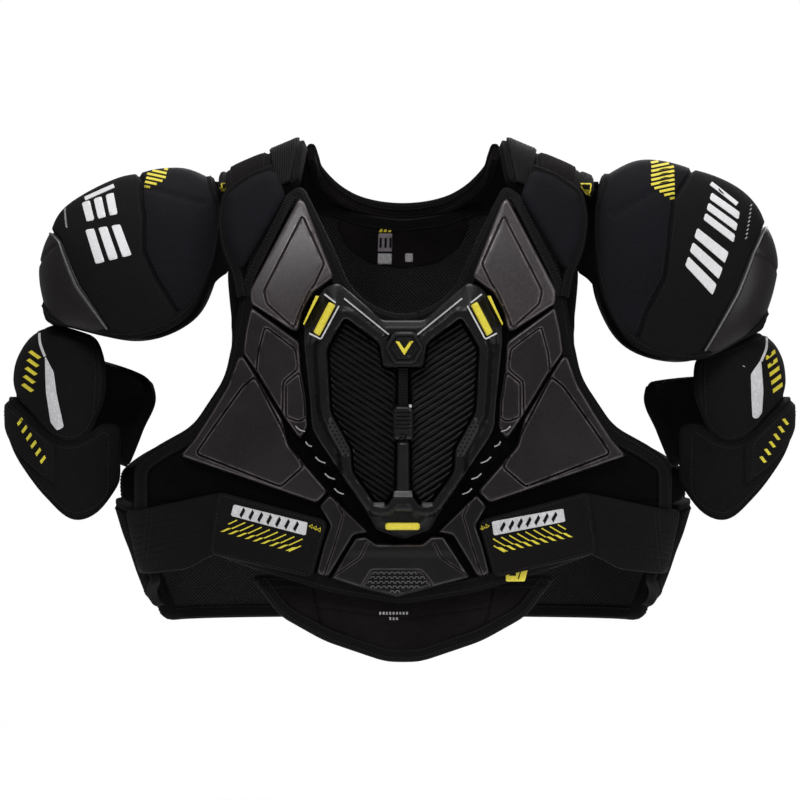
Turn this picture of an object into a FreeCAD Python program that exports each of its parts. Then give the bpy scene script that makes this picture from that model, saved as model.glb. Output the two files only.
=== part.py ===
"""Ice hockey shoulder pads: chest and back panels, shoulder caps, bicep guards and side belts.

Millimetres, +Z up. The front faces -Y and +X is the wearer's left. The origin is the underside
of the shoulder straps at the top of the shoulders, half way between the two sides.
"""
import FreeCAD
import Part
import math
import os

V = FreeCAD.Vector

# ---------------------------------------------------------------- driving dimensions (mm)
CHEST_HALF_WIDTH = 240.0     # inside of the torso at its widest
CHEST_DEPTH = 96.0           # inside of the front panel, ahead of the origin
BACK_DEPTH = 92.0            # inside of the back panel, behind the origin
TORSO_POWER = 2.6            # superellipse power of the torso's plan
LEAN_START = -150.0          # above this height the panels lean in towards the shoulders
WAIST_START = -300.0         # below this height the sides taper
WAIST_SLOPE = 0.378          # inward taper per mm below WAIST_START
BASE = (0.0, 10.0)           # layers of the front: inner and outer face above the torso surface
LINER = (-3.3, -0.3)
PLATE = (10.3, 18.0)
FRAME = (10.3, 27.0)
CREST = (27.3, 33.0)
TAB = (27.3, 29.0)
WEBBING_LAYER = (10.3, 13.0)
FLAP_LAYER = (10.3, 20.0)
BELT = (11.3, 13.5)
HOOK_TAB = (13.8, 17.5)
EXTENSION = (-13.6, -3.6)
BACK_PANEL = (0.0, 8.0)      # layers of the back
BACK_PLATE = (8.3, 15.0)
SHOULDER_SLOPE = 0.42        # fall of the shoulder per mm outward
SHOULDER_START = 90.0        # where that fall starts, from the centre line
SHOULDER_CURVE = 0.0105      # fall of the shoulder arch, per mm squared, to front and back
STRAP = (0.0, 8.0)
RIBBON = (8.3, 10.5)
CAP_LAYERS = {"cap_cover": (0.0, 7.0), "cap_shell": (7.3, 9.8), "cap_liner": (10.1, 16.0)}
LOWEST = -440.0
BELT_HINGE_Y = 20.0          # where the side wings join the back panel
HINGE_GAP = 1.2
SIDES = {"right": -1.0, "left": 1.0}
ARM_X = {"right": -283.0, "left": 277.5}


# ---------------------------------------------------------------- general helpers
def surface(grid):
    sheet = Part.BSplineSurface()
    sheet.interpolate(grid)
    return sheet


def rim(edge_curve, opposite_curve):
    """Ruled face between matching edges of the two skins."""
    strip = Part.BSplineSurface()
    strip.buildFromNSections([edge_curve, opposite_curve])
    return strip.toShape()


def shell_solid(outer, inner):
    """Closed solid between two point grids of the same size, with ruled edges."""
    top, bottom = surface(outer), surface(inner)
    u0, u1, v0, v1 = top.bounds()
    faces = [top.toShape(), bottom.toShape()]
    faces += [rim(top.uIso(u), bottom.uIso(u)) for u in (u0, u1)]
    faces += [rim(top.vIso(v), bottom.vIso(v)) for v in (v0, v1)]
    skin = Part.makeCompound(faces)
    skin.sewShape(0.001)
    solid = Part.Solid(skin.Shells[0])
    if solid.Volume < 0:
        solid.reverse()
    return solid


def normals(grid):
    """Unit normals of a point grid, by central differences."""
    last_row, last_column = len(grid) - 1, len(grid[0]) - 1
    result = []
    for i in range(last_row + 1):
        line = []
        for j in range(last_column + 1):
            along = grid[min(i + 1, last_row)][j] - grid[max(i - 1, 0)][j]
            across = grid[i][min(j + 1, last_column)] - grid[i][max(j - 1, 0)]
            line.append(along.cross(across).normalize())
        result.append(line)
    return result


def thick_sheet(grid, near, far):
    """Solid between two offsets of one grid, along its normals."""
    directions = normals(grid)
    near_grid = [[p + n * near for p, n in zip(*rows)] for rows in zip(grid, directions)]
    far_grid = [[p + n * far for p, n in zip(*rows)] for rows in zip(grid, directions)]
    return shell_solid(far_grid, near_grid)


def between(stations, where):
    """Value at 'where' on a smooth curve through a list of (position, value) stations."""
    if where <= stations[0][0]:
        return stations[0][1]
    if where >= stations[-1][0]:
        return stations[-1][1]
    k = max(i for i, station in enumerate(stations[:-1]) if station[0] <= where)
    slopes = []
    for i in (k, k + 1):
        first, last = stations[max(i - 1, 0)], stations[min(i + 1, len(stations) - 1)]
        slopes.append((last[1] - first[1]) / (last[0] - first[0]))
    (start, low), (end, high) = stations[k], stations[k + 1]
    t = (where - start) / (end - start)
    step = end - start
    return (low * (1 + 2 * t) * (1 - t) ** 2 + high * t * t * (3 - 2 * t)
            + step * slopes[0] * t * (1 - t) ** 2 - step * slopes[1] * t * t * (1 - t))


def smooth_path(points, count):
    """Points evenly spaced along a smooth curve through the given points."""
    curve = Part.BSplineCurve()
    curve.interpolate([V(*p) for p in points])
    return curve.discretize(Number=count)


def rounded_wire(points, radius):
    """Closed outline in the XZ plane with its corners rounded by arcs."""
    corners = [V(x, 0, z) for x, z in points]
    rounds = []
    for i, corner in enumerate(corners):
        before = corners[i - 1] - corner
        after = corners[(i + 1) % len(corners)] - corner
        half = before.getAngle(after) / 2.0
        reach = min(radius / math.tan(half), 0.45 * before.Length, 0.45 * after.Length)
        before.normalize()
        after.normalize()
        if half > math.radians(88.5) or reach < 0.05:
            rounds.append((corner, None, corner))
            continue
        inward = (before + after).normalize()
        middle = corner + inward * (reach / math.cos(half) - reach * math.tan(half))
        rounds.append((corner + before * reach, middle, corner + after * reach))
    edges = []
    for i, (start, middle, end) in enumerate(rounds):
        if middle is not None:
            edges.append(Part.Arc(start, middle, end).toShape())
        edges.append(Part.LineSegment(end, rounds[(i + 1) % len(rounds)][0]).toShape())
    return Part.Wire(edges)


def prism(points, radius, low_y, high_y):
    """Rounded outline pushed along Y."""
    face = Part.Face(rounded_wire(points, radius))
    face.translate(V(0, low_y, 0))
    return face.extrude(V(0, high_y - low_y, 0))


def mirrored(shape):
    return shape.mirror(V(0, 0, 0), V(1, 0, 0))


def pair(name, right):
    """A right piece and its mirror image as two named nodes."""
    return {"right_" + name: right, "left_" + name: mirrored(right)}


def both_halves(points):
    """Whole outline from its right half, which starts and ends on or near the centre line."""
    return points + [(-x, z) for x, z in reversed(points) if abs(x) > 0.01]


def one_solid(shape):
    return max(shape.Solids, key=lambda solid: solid.Volume)


# ---------------------------------------------------------------- torso surface
def lean(z):
    return max(0.0, (z - LEAN_START) / -LEAN_START)


def half_width(z):
    below = WAIST_START - z
    taper = 0.5 * (below + math.hypot(below, 20.0))
    return CHEST_HALF_WIDTH - WAIST_SLOPE * taper - 55.0 * lean(z)


def torso_grid(offset, heights, angles, depth, depth_lean, side):
    """Points of the torso's front (side -1) or back (side 1), 'offset' outside its skin."""
    grid = []
    for z in heights:
        wide = half_width(z) + offset
        deep = depth - depth_lean * lean(z) ** 2 + offset
        power = TORSO_POWER - 0.6 * lean(z)
        line = []
        for angle in angles:
            s = math.sin(math.radians(angle))
            line.append(V(wide * s, side * deep * (1.0 - abs(s) ** power) ** (1.0 / power), z))
        grid.append(line)
    return grid


FRONT_HEIGHTS = [LOWEST, -400, -370, -345, -320, -300, -280, -250, -220, -190, -165, -150,
                 -135, -115, -95, -75, -55, -40, -25]
FRONT_ANGLES = [-80, -72, -63, -52, -40, -30, -20, -10, 0, 10, 20, 30, 40, 52, 63, 72, 80]
BACK_ANGLES = [-82.5, -78] + FRONT_ANGLES[1:-1] + [78, 82.5]
SLABS = {}


def front_slab(layer):
    if layer not in SLABS:
        near, far = [torso_grid(off, FRONT_HEIGHTS, FRONT_ANGLES, CHEST_DEPTH, 52.0, -1.0)
                     for off in layer]
        SLABS[layer] = shell_solid(far, near)
    return SLABS[layer]


def back_slab(layer):
    near, far = [torso_grid(off, FRONT_HEIGHTS, BACK_ANGLES, BACK_DEPTH, 40.0, 1.0)
                 for off in layer]
    return shell_solid(far, near)


def front_piece(points, radius, layer):
    """Piece of one front layer, inside an outline in front view."""
    return one_solid(front_slab(layer).common(prism(points, radius, -150.0, -5.0)))


def back_piece(points, radius, layer):
    return one_solid(back_slab(layer).common(prism(points, radius, 2.0, 130.0)))


# ---------------------------------------------------------------- front panel and its plates
BASE_HALF = [(0, -146), (-26, -138), (-45.5, -121), (-61, -85), (-81.5, -43), (-86.5, -35),
             (-95, -40), (-118, -60), (-132, -99), (-138, -148), (-148.5, -197),
             (-176, -238), (-211, -257), (-227, -270), (-227, -318), (-212, -324),
             (-130, -354), (-61, -375), (0, -385)]
CLAVICLE = [(-87.5, -44.5), (-83, -49), (-58, -112), (-67, -119), (-75.5, -125), (-84.2, -141),
            (-87.5, -156), (-91, -158), (-127.5, -134.5), (-128.5, -123.5)]
PEC = [(-127.5, -136.5), (-86.5, -166.5), (-85, -191.5), (-81, -215), (-79.5, -238),
       (-86.5, -248.5), (-100, -229.5), (-124, -190.5), (-134.5, -175.5), (-132, -156)]
RIB = [(-133.5, -178.5), (-124.5, -192.5), (-101, -231), (-96, -253), (-62.5, -291.5),
       (-72, -301.5), (-188, -262), (-176, -248.5), (-160.5, -225), (-147, -202.5),
       (-138, -178)]
WAIST = [(-70.5, -304), (-61.5, -293.5), (-45.5, -309), (-28, -326), (-41, -328),
         (-62.5, -363.5), (-73, -360.5), (-67, -337), (-61, -320)]
ABDOMEN = [(-40, -330), (-31, -329), (-22.5, -335), (16, -335), (23.5, -329), (34, -329),
           (56.5, -363.5), (32.5, -369.5), (-5, -380), (-36, -372), (-60.5, -364)]
FRAME_HALF = [(-17.5, -148), (-54.5, -116), (-66, -120.5), (-83, -147), (-83.5, -168),
              (-78.5, -215), (-77, -237), (-72, -247.5), (-31.5, -307.5), (-23, -324),
              (0, -332)]
WINDOW_HALF = [(0, -188), (-17, -188), (-20, -168), (-48.5, -146), (-63.5, -172), (-63, -181),
               (-60.5, -225), (-43.5, -256), (-42.5, -274.5), (-22.5, -303), (-13, -303),
               (-9, -295), (0, -295)]
STERNUM_PAD = [(-18.5, -189), (-21, -170), (-48, -148), (-62, -172), (-61.7, -181),
               (-59, -225), (-42.3, -256), (-41.3, -274), (-22, -301.5), (-13.5, -301.5),
               (-9, -293.5), (-5.5, -293.5), (-5.5, -189)]
SLOT_TAB = [(-59.5, -133.5), (-56.5, -135.5), (-70, -161.5), (-74.5, -159.5)]
WEBBING = [(-91, -42.5), (-98, -43), (-131.5, -105), (-136, -128), (-130.5, -132),
           (-130.2, -122)]
FLAP = [(-100.5, -45), (-104, -38), (-126, -37), (-148, -46), (-150, -63), (-147, -86),
        (-138.5, -106), (-134, -104)]
CHEST_EXTENSION = [(-128.5, -364), (-118.5, -374.5), (-103.5, -395.5), (-65.5, -416.5),
                   (-15, -433.5), (0, -434)]
CREST_CENTRE_Z = -173.0
CREST_RADIUS = 15.5


def hexagon(radius, centre_z):
    return [(radius * math.cos(math.radians(a)), centre_z + radius * math.sin(math.radians(a)))
            for a in range(0, 360, 60)]


def box_points(half_x, low_z, high_z):
    return [(-half_x, low_z), (half_x, low_z), (half_x, high_z), (-half_x, high_z)]


def front_panel():
    base = both_halves(BASE_HALF)
    middle = -250.0
    liner = [(0.955 * x, middle + 0.955 * (z - middle)) for x, z in base]
    parts = {
        "chest_base": front_piece(base, 9.0, BASE),
        "chest_liner": front_piece(liner, 9.0, LINER),
        "abdomen_plate": front_piece(ABDOMEN, 2.0, PLATE),
        "crest_badge": front_piece(hexagon(CREST_RADIUS, CREST_CENTRE_Z), 1.5, CREST),
    }
    ring = front_piece(both_halves(FRAME_HALF), 4.0, FRAME)
    parts["sternum_frame"] = one_solid(ring.cut(prism(both_halves(WINDOW_HALF), 3.0, -150, -5)))
    slot_tab = front_piece(SLOT_TAB, 0.8, TAB)
    foot_tab = front_piece(box_points(14.5, -323.4, -317.6), 2.2, TAB)
    parts["slot_tabs"] = Part.makeCompound([slot_tab, mirrored(slot_tab), foot_tab])
    band = front_piece(WEBBING, 1.0, WEBBING_LAYER)
    parts["webbing_bands"] = Part.makeCompound([band, mirrored(band)])
    paired = {
        "clavicle_plate": (CLAVICLE, 3.0, PLATE), "pec_plate": (PEC, 3.0, PLATE),
        "rib_plate": (RIB, 3.0, PLATE), "waist_plate": (WAIST, 2.0, PLATE),
        "sternum_pad": (STERNUM_PAD, 2.0, PLATE), "collarbone_flap": (FLAP, 6.0, FLAP_LAYER),
    }
    for name, details in paired.items():
        parts.update(pair(name, front_piece(*details)))
    return parts


def sternum_adjuster():
    """Strap between crest and frame foot, its fixed sleeve and the clip that slides on it."""
    strap_layer = (21.4, 23.4)
    slot = front_piece(box_points(4.4, -300.0, -180.0), 0.3, (21.1, 23.7))
    sleeve = front_piece(box_points(5.6, -294.0, -249.5), 1.0, (18.8, 26.0))
    slider = front_piece(box_points(8.4, -248.5, -219.5), 2.0, (18.8, 26.5))
    return {
        "centre_strap": front_piece(box_points(4.0, -294.6, -188.4), 0.3, strap_layer),
        "centre_sleeve": one_solid(sleeve.cut(slot)),
        "sternum_slider": one_solid(slider.cut(slot)),
    }


def extension_pad():
    return {"extension_pad": front_piece(both_halves(CHEST_EXTENSION), 8.0, EXTENSION)}


# ---------------------------------------------------------------- shoulder arch
def shoulder_grid(x_range, y_range, columns=7, rows=13, narrow=0.0):
    """Underside of the shoulder arch between two widths and two depths.

    'narrow' draws the front end in to that share of its width, towards the outer side.
    """
    grid = []
    for i in range(rows):
        share = i / (rows - 1)
        y = y_range[0] + (y_range[1] - y_range[0]) * share
        pinch = 1.0 - narrow * (1.0 - share) ** 2
        centre = 0.5 * (x_range[0] + x_range[1])
        line = []
        for j in range(columns):
            x = centre + (x_range[1] - x_range[0]) * pinch * (j / (columns - 1) - 0.5)
            fall = SHOULDER_SLOPE * (abs(x) - SHOULDER_START)
            line.append(V(x, y, -fall - SHOULDER_CURVE * y * y))
        grid.append(line)
    return grid


def shoulder_patch(x_range, y_range, layer, narrow=0.0):
    """Patch on the right shoulder; x runs outward to inward so that normals point up."""
    grid = shoulder_grid(x_range, y_range, narrow=narrow)
    return thick_sheet(grid, -layer[0], -layer[1])


def shoulders():
    ribbon = shoulder_patch((-110.0, -88.0), (-57.0, -1.0), RIBBON, 0.75)
    strap_pad = shoulder_patch((-156.5, -149.0), (-34.0, 34.0), (-1.0, 8.0))
    return {
        "shoulder_ribbons": Part.makeCompound([ribbon, mirrored(ribbon)]),
        "strap_pads": Part.makeCompound([strap_pad, mirrored(strap_pad)]),
        **pair("front_strap", shoulder_patch((-110.0, -84.0), (-56.0, -1.0), STRAP, 0.45)),
        **pair("back_strap", shoulder_patch((-110.0, -84.0), (1.0, 62.0), STRAP)),
        **pair("yoke_pad", shoulder_patch((-147.5, -112.0), (-42.0, 60.0), (-1.0, 9.0))),
    }


# ---------------------------------------------------------------- back panel and collar
BACK_HALF = [(0, -58), (-40, -53), (-62, -44), (-84, -42), (-118, -52), (-150, -75),
             (-160, -105), (-158, -150), (-160, -190), (-175, -228), (-205, -252),
             (-234, -285), (-262, -303), (-262, -385), (-214, -393), (-205, -404), (0, -404)]
COLLAR_TOP = [(-75.5, 6, 5), (-73.5, 24, -1), (-70, 42, -11), (-55, 58, -27), (-37, 70, -37),
              (0, 77, -43)]
SPINE_FACE_Y = 112.0


def back_panel():
    outline = both_halves(BACK_HALF)
    middle = -240.0
    liner = [(0.95 * x, middle + 0.95 * (z - middle)) for x, z in outline]
    spine = one_solid(back_slab((8.3, 24.0)).common(prism(box_points(34.0, -372.0, -110.0),
                                                          12.0, 60.0, SPINE_FACE_Y)))
    scapula = [(-44, -96), (-128, -112), (-136, -180), (-120, -214), (-44, -232)]
    kidney = [(-44, -246), (-126, -232), (-178, -268), (-188, -340), (-150, -378), (-44, -384)]
    parts = {
        "back_panel": back_piece(outline, 9.0, BACK_PANEL),
        "back_liner": back_piece(liner, 9.0, LINER),
        "spine_plate": spine,
    }
    parts.update(pair("scapula_plate", back_piece(scapula, 9.0, BACK_PLATE)))
    parts.update(pair("kidney_plate", back_piece(kidney, 9.0, BACK_PLATE)))
    return parts


def collar():
    """Padded band round the back of the neck, its two ends on top of the shoulders."""
    half = COLLAR_TOP + [(-x, y, z) for x, y, z in reversed(COLLAR_TOP[:-1])]
    path = smooth_path(half, 21)
    inner, outer = [], []
    for point in path:
        out = V(point.x, point.y, 0).normalize()
        inner.append([point, point - V(0, 0, 7), point - V(0, 0, 14)])
        outer.append([p + out * 7.0 for p in inner[-1]])
    return {"neck_collar": shell_solid(outer, inner), "size_label": size_label()}


def size_label():
    """Cloth size label sewn inside the back of the neck."""
    rows = []
    for z in (-66.0, -76.0, -86.0):
        deep = BACK_DEPTH - 40.0 * lean(z) ** 2
        rows.append([V(x, deep - 4.0, z) for x in (-28.0, -22.0, -16.0)])
    near = [[p - V(0, 1.0, 0) for p in row] for row in rows]
    return shell_solid(rows, near)


# ---------------------------------------------------------------- side wings, belts, hook tabs
BELT_OUTLINE = [(-236, -309), (-218, -306.5), (-163, -294.5), (-149, -292), (-151, -342),
                (-163, -347), (-182, -357.5), (-213, -362), (-226, -363)]
HOOK_OUTLINE = [(-156, -291.5), (-62.5, -316), (-76, -364), (-163, -344)]


def side_wing():
    """Flexible side panel from the back panel round to the front edge under the belt."""
    outer, inner = [], []
    for y in (BELT_HINGE_Y - HINGE_GAP, 8.0, -4.0, -15.0, -25.0, -34.0):
        top = -303.0 - 0.12 * (BELT_HINGE_Y - y)
        low = -392.0 + 0.42 * (BELT_HINGE_Y - y)
        lines = [[], []]
        for k in range(7):
            z = top + (low - top) * k / 6.0
            for line, off in zip(lines, (8.0, 0.5)):
                depth = (BACK_DEPTH if y > 0 else CHEST_DEPTH) + off
                share = (1.0 - (abs(y) / depth) ** TORSO_POWER) ** (1.0 / TORSO_POWER)
                line.append(V(-(half_width(z) + off) * share, y, z))
        outer.append(lines[0])
        inner.append(lines[1])
    return shell_solid(outer, inner)


def belts():
    return {
        **pair("side_wing", side_wing()),
        **pair("elastic_belt", front_piece(BELT_OUTLINE, 4.0, BELT)),
        **pair("hook_tab", front_piece(HOOK_OUTLINE, 7.0, HOOK_TAB)),
    }


# ---------------------------------------------------------------- shoulder caps
# Crest line over the shoulder (y = 0) and front rim, from the neck side to the arm side.
CAP_CREST = {
    "right": [(-166, -24), (-196, -17), (-243, -25), (-291, -52), (-310, -95), (-308, -133)],
    "left": [(174, -22), (208, -10), (255, -19), (298, -43), (320, -92), (312, -140)],
}
CAP_RIM = {
    "right": [(-158, -48), (-158, -80), (-164, -110), (-183, -146), (-230, -163), (-299, -147)],
    "left": [(166, -52), (164, -88), (170, -132), (195, -171), (247, -181), (300, -155)],
}
CAP_HALF_DEPTH = [(0.0, 34.0), (0.35, 70.0), (0.65, 76.0), (1.0, 48.0)]


def cap_grid(side, stations=13, arcs=13):
    """Outer skin of one cap: arches from the front rim over the crest to the back rim."""
    crest = smooth_path([(x, 0, z) for x, z in CAP_CREST[side]], stations)
    rim = smooth_path([(x, 0, z) for x, z in CAP_RIM[side]], stations)
    grid = []
    for i, (high, low) in enumerate(zip(crest, rim)):
        depth = between(CAP_HALF_DEPTH, i / (stations - 1))
        line = []
        for j in range(arcs):
            turn = math.radians(-90.0 + 180.0 * j / (arcs - 1))
            point = high + (low - high) * (1.0 - math.cos(turn))
            line.append(point + V(0, depth * math.sin(turn), 0))
        grid.append(line)
    return grid


def caps():
    parts = {}
    for side, sign in SIDES.items():
        grid = cap_grid(side)
        for name, (near, far) in CAP_LAYERS.items():
            parts[side + "_" + name] = thick_sheet(grid, -sign * far, -sign * near)
    return parts


# ---------------------------------------------------------------- bicep guards
GUARD_RX = [(-255, 46), (-215, 48), (-196, 50), (-178, 46), (-165, 38), (-150, 22)]
GUARD_RY = [(-255, 54), (-230, 56), (-196, 55), (-178, 50), (-165, 44), (-150, 34)]
PAD_CENTRE = [(-275, 1.5), (-242, 8.5), (-212, 15.5), (-196, 13), (-165, 4.5)]
PAD_RX = [(-275, 44.5), (-242, 51), (-212, 55), (-196, 52.5), (-165, 31)]
GUARD_TOP = {"right": [(150, -158), (180, -153), (225, -160), (265, -169), (305, -173)],
             "left": [(150, -162), (180, -158), (225, -171), (265, -186), (305, -193)]}
GUARD_LOW = [(150, -214), (180, -213), (225, -226), (262, -250), (285, -246), (305, -214)]
WRAP_TOP = [(120, -205), (150, -215.5), (180, -214.5), (225, -227.5), (262, -252), (285, -248),
            (300, -238), (317, -238)]
WRAP_LOW = [(120, -238), (180, -240), (205, -256), (225, -272), (250, -296), (275, -315),
            (290, -311), (317, -284)]
PAD_TOP = {"right": [(0, -200), (60, -186), (110, -177), (180, -175), (240, -183), (264, -188)],
           "left": [(0, -202), (60, -198), (110, -194), (180, -172), (240, -184), (264, -191)]}
PAD_LOW = [(0, -272), (60, -264), (120, -246), (180, -244), (264, -259)]
STRAP_LOW = [(174, -232), (205, -250), (225, -264), (258, -288)]


def arm_tube(side, angles, top, low, section, near, far, rows=9):
    """Part of a sleeve: 'section' gives centre and radii at a height, angles run round it.

    Angle 0 is the side facing the chest, 90 the back, 180 the outside, 270 the front.
    """
    sign = SIDES[side]
    grids = []
    for off in (far, near):
        grid = []
        for angle in angles:
            turn = math.radians(angle)
            high, deep = between(top, angle), between(low, angle)
            line = []
            for k in range(rows):
                z = deep + (high - deep) * k / (rows - 1)
                shift, rx, ry = section(z)
                x = shift + (rx + off) * math.cos(turn)
                line.append(V(ARM_X[side] - sign * x, (ry + off) * math.sin(turn), z))
            grid.append(line)
        grids.append(grid)
    return shell_solid(*grids)


def guard_section(z):
    return 0.0, between(GUARD_RX, z), between(GUARD_RY, z)


def pad_section(z):
    return between(PAD_CENTRE, z), between(PAD_RX, z), 43.0


def wrap_section(z):
    return 0.0, 57.0, 55.0


def spread(first, last, step=15.0):
    count = max(4, round((last - first) / step))
    return [first + (last - first) * k / count for k in range(count + 1)]


def arms():
    parts = {}
    for side in SIDES:
        top = GUARD_TOP[side]
        strap_top = [(a, z - 2.5) for a, z in WRAP_TOP]
        parts[side + "_bicep_guard"] = arm_tube(side, spread(150, 305), top, GUARD_LOW,
                                                guard_section, -8.0, 0.0)
        parts[side + "_bicep_pad"] = arm_tube(side, spread(0, 264), PAD_TOP[side], PAD_LOW,
                                              pad_section, -7.0, 0.0)
        parts[side + "_bicep_wrap"] = arm_tube(side, spread(120, 317), WRAP_TOP, WRAP_LOW,
                                               wrap_section, -6.0, 0.0)
        parts[side + "_bicep_strap"] = arm_tube(side, spread(174, 258), strap_top, STRAP_LOW,
                                                wrap_section, 0.5, 3.0)
    return parts


# ---------------------------------------------------------------- write the parts
def main():
    os.makedirs("parts", exist_ok=True)
    groups = [front_panel(), sternum_adjuster(), extension_pad(), shoulders(), back_panel(),
              collar(), belts(), caps(), arms()]
    for group in groups:
        for name, shape in group.items():
            if not shape.isValid() or shape.Volume < 1.0:
                print("check this solid:", name, shape.Volume)
            shape.exportStep("parts/" + name + ".step")


main()
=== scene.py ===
"""Looks of the ice hockey shoulder pads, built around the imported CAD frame.

Shapes are worked out in millimetres in the frame's own axes (+Z up, front towards -Y, +X to the
wearer's left) and written to Blender in metres.
"""
import math

import bpy
import numpy as np
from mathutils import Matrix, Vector, geometry
from mathutils.bvhtree import BVHTree
from mathutils.kdtree import KDTree


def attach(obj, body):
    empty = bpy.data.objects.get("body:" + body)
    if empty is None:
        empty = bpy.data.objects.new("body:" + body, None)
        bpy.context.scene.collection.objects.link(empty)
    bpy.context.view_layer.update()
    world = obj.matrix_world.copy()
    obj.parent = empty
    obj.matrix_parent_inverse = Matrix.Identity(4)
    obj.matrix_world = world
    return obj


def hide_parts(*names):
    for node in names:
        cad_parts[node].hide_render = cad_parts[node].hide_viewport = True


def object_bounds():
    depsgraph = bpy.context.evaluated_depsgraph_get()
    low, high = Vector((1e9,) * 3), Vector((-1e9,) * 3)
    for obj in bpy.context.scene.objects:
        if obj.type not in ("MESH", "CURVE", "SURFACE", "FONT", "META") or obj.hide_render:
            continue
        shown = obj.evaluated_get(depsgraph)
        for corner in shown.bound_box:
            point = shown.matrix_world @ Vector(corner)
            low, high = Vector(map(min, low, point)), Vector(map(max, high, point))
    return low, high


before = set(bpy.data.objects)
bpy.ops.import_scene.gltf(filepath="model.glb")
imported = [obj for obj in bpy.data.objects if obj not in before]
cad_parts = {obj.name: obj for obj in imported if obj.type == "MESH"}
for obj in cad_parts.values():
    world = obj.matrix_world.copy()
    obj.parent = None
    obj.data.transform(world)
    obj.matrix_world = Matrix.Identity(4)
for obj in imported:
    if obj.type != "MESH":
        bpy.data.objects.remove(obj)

cad_low, cad_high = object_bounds()
MM = 0.001
SIDES = {"right": -1.0, "left": 1.0}


# ---------------------------------------------------------------- plane geometry, millimetres
def unit(vectors):
    """Vectors of length 1."""
    vectors = np.asarray(vectors, float)
    return vectors / np.maximum(np.linalg.norm(vectors, axis=-1, keepdims=True), 1e-9)


def arc_lengths(path):
    """Distance run along a path, at each of its points."""
    return np.concatenate([[0.0], np.cumsum(np.linalg.norm(np.diff(path, axis=0), axis=1))])


def eased(count):
    """Shares from 0 to 1, closer together near both ends."""
    return 0.5 - 0.5 * np.cos(np.linspace(0.0, math.pi, count))


def resample(path, step, closed):
    """Evenly spaced points along a path, close to 'step' apart."""
    path = np.asarray(path, float)
    if closed:
        path = np.vstack([path, path[:1]])
    run = arc_lengths(path)
    count = max(3, int(round(run[-1] / step)))
    where = np.linspace(0.0, run[-1], count + 1)
    if closed:
        where = where[:-1]
    return np.stack([np.interp(where, run, path[:, k]) for k in range(path.shape[1])], -1)


def rounded(points, radius, step=2.4, closed=True):
    """Outline or path with its corners rounded, evenly resampled."""
    points = np.asarray(points, float)
    count = len(points)
    path = []
    for i, corner in enumerate(points):
        if not closed and i in (0, count - 1):
            path.append(corner)
            continue
        before = points[i - 1] - corner
        after = points[(i + 1) % count] - corner
        reach_before = min(radius, 0.45 * np.linalg.norm(before))
        reach_after = min(radius, 0.45 * np.linalg.norm(after))
        start = corner + unit(before) * reach_before
        end = corner + unit(after) * reach_after
        for t in np.linspace(0.0, 1.0, 6):
            path.append((1 - t) ** 2 * start + 2 * t * (1 - t) * corner + t * t * end)
    return resample(path, step, closed)


def signed_area(loop):
    """Area of a loop, positive when it runs anticlockwise."""
    x, z = loop[:, 0], loop[:, 1]
    return 0.5 * np.sum(x * np.roll(z, -1) - np.roll(x, -1) * z)


def anticlockwise(loop):
    """The loop, turned round if need be so that its inside lies on the left."""
    return loop if signed_area(loop) > 0 else loop[::-1]


def segments(path, closed):
    """Pairs of neighbouring points."""
    path = np.asarray(path, float)
    ends = np.roll(path, -1, 0) if closed else path[1:]
    return zip(path if closed else path[:-1], ends)


def distance(points, path, closed=True):
    """Distance of each point from a path."""
    best = np.full(len(points), 1e9)
    for a, b in segments(path, closed):
        run = b - a
        t = np.clip(((points - a) @ run) / max(run @ run, 1e-12), 0.0, 1.0)
        best = np.minimum(best, np.linalg.norm(points - a - t[:, None] * run, axis=1))
    return best


def inside(points, loop):
    """Which points lie inside a loop."""
    odd = np.zeros(len(points), bool)
    x, z = points[:, 0], points[:, 1]
    for a, b in segments(loop, True):
        if a[1] != b[1]:
            crosses = (a[1] > z) != (b[1] > z)
            odd ^= crosses & (x < (b[0] - a[0]) * (z - a[1]) / (b[1] - a[1]) + a[0])
    return odd


def heading(path, closed):
    """Direction of travel at each point of a path, not of unit length."""
    if closed:
        return np.roll(path, -1, 0) - np.roll(path, 1, 0)
    return np.gradient(path, axis=0)


def side_normals(path, closed):
    """Unit normals to the left of a path in its plane."""
    along = heading(path, closed)
    return unit(np.stack([-along[:, 1], along[:, 0]], -1))


def facing(normals, way):
    """The normals, turned round where they point against 'way'."""
    return normals * np.where(np.sum(normals * way, -1, keepdims=True) < 0, -1.0, 1.0)


def lattice(loop, step):
    """Triangular lattice of points over a loop's box."""
    low, high = loop.min(0), loop.max(0)
    rows = []
    for k, z in enumerate(np.arange(low[1], high[1], step * 0.866)):
        xs = np.arange(low[0] + (k % 2) * step / 2, high[0], step)
        rows.append(np.stack([xs, np.full(len(xs), z)], -1))
    return np.vstack(rows)


def crossing_weight(distances, half_width):
    """1 on a line, falling smoothly to 0 at half_width."""
    t = np.clip(1.0 - distances / half_width, 0.0, 1.0)
    return t * t * (3.0 - 2.0 * t)


# ---------------------------------------------------------------- mesh building
class Shape:
    """Points in millimetres, faces, and per-point values that materials read."""

    def __init__(self, points, faces, uv=None, edge=None, face_material=None):
        self.points = np.asarray(points, float)
        self.faces = faces
        self.uv = np.zeros((len(self.points), 2)) if uv is None else np.asarray(uv, float)
        self.edge = np.full(len(self.points), 99.0) if edge is None else np.asarray(edge, float)
        self.face_material = face_material

    def mirrored(self):
        """The shape on the other side of the part."""
        points = self.points * (-1.0, 1.0, 1.0)
        return Shape(points, [f[::-1] for f in self.faces], self.uv, self.edge,
                     self.face_material)


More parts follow.
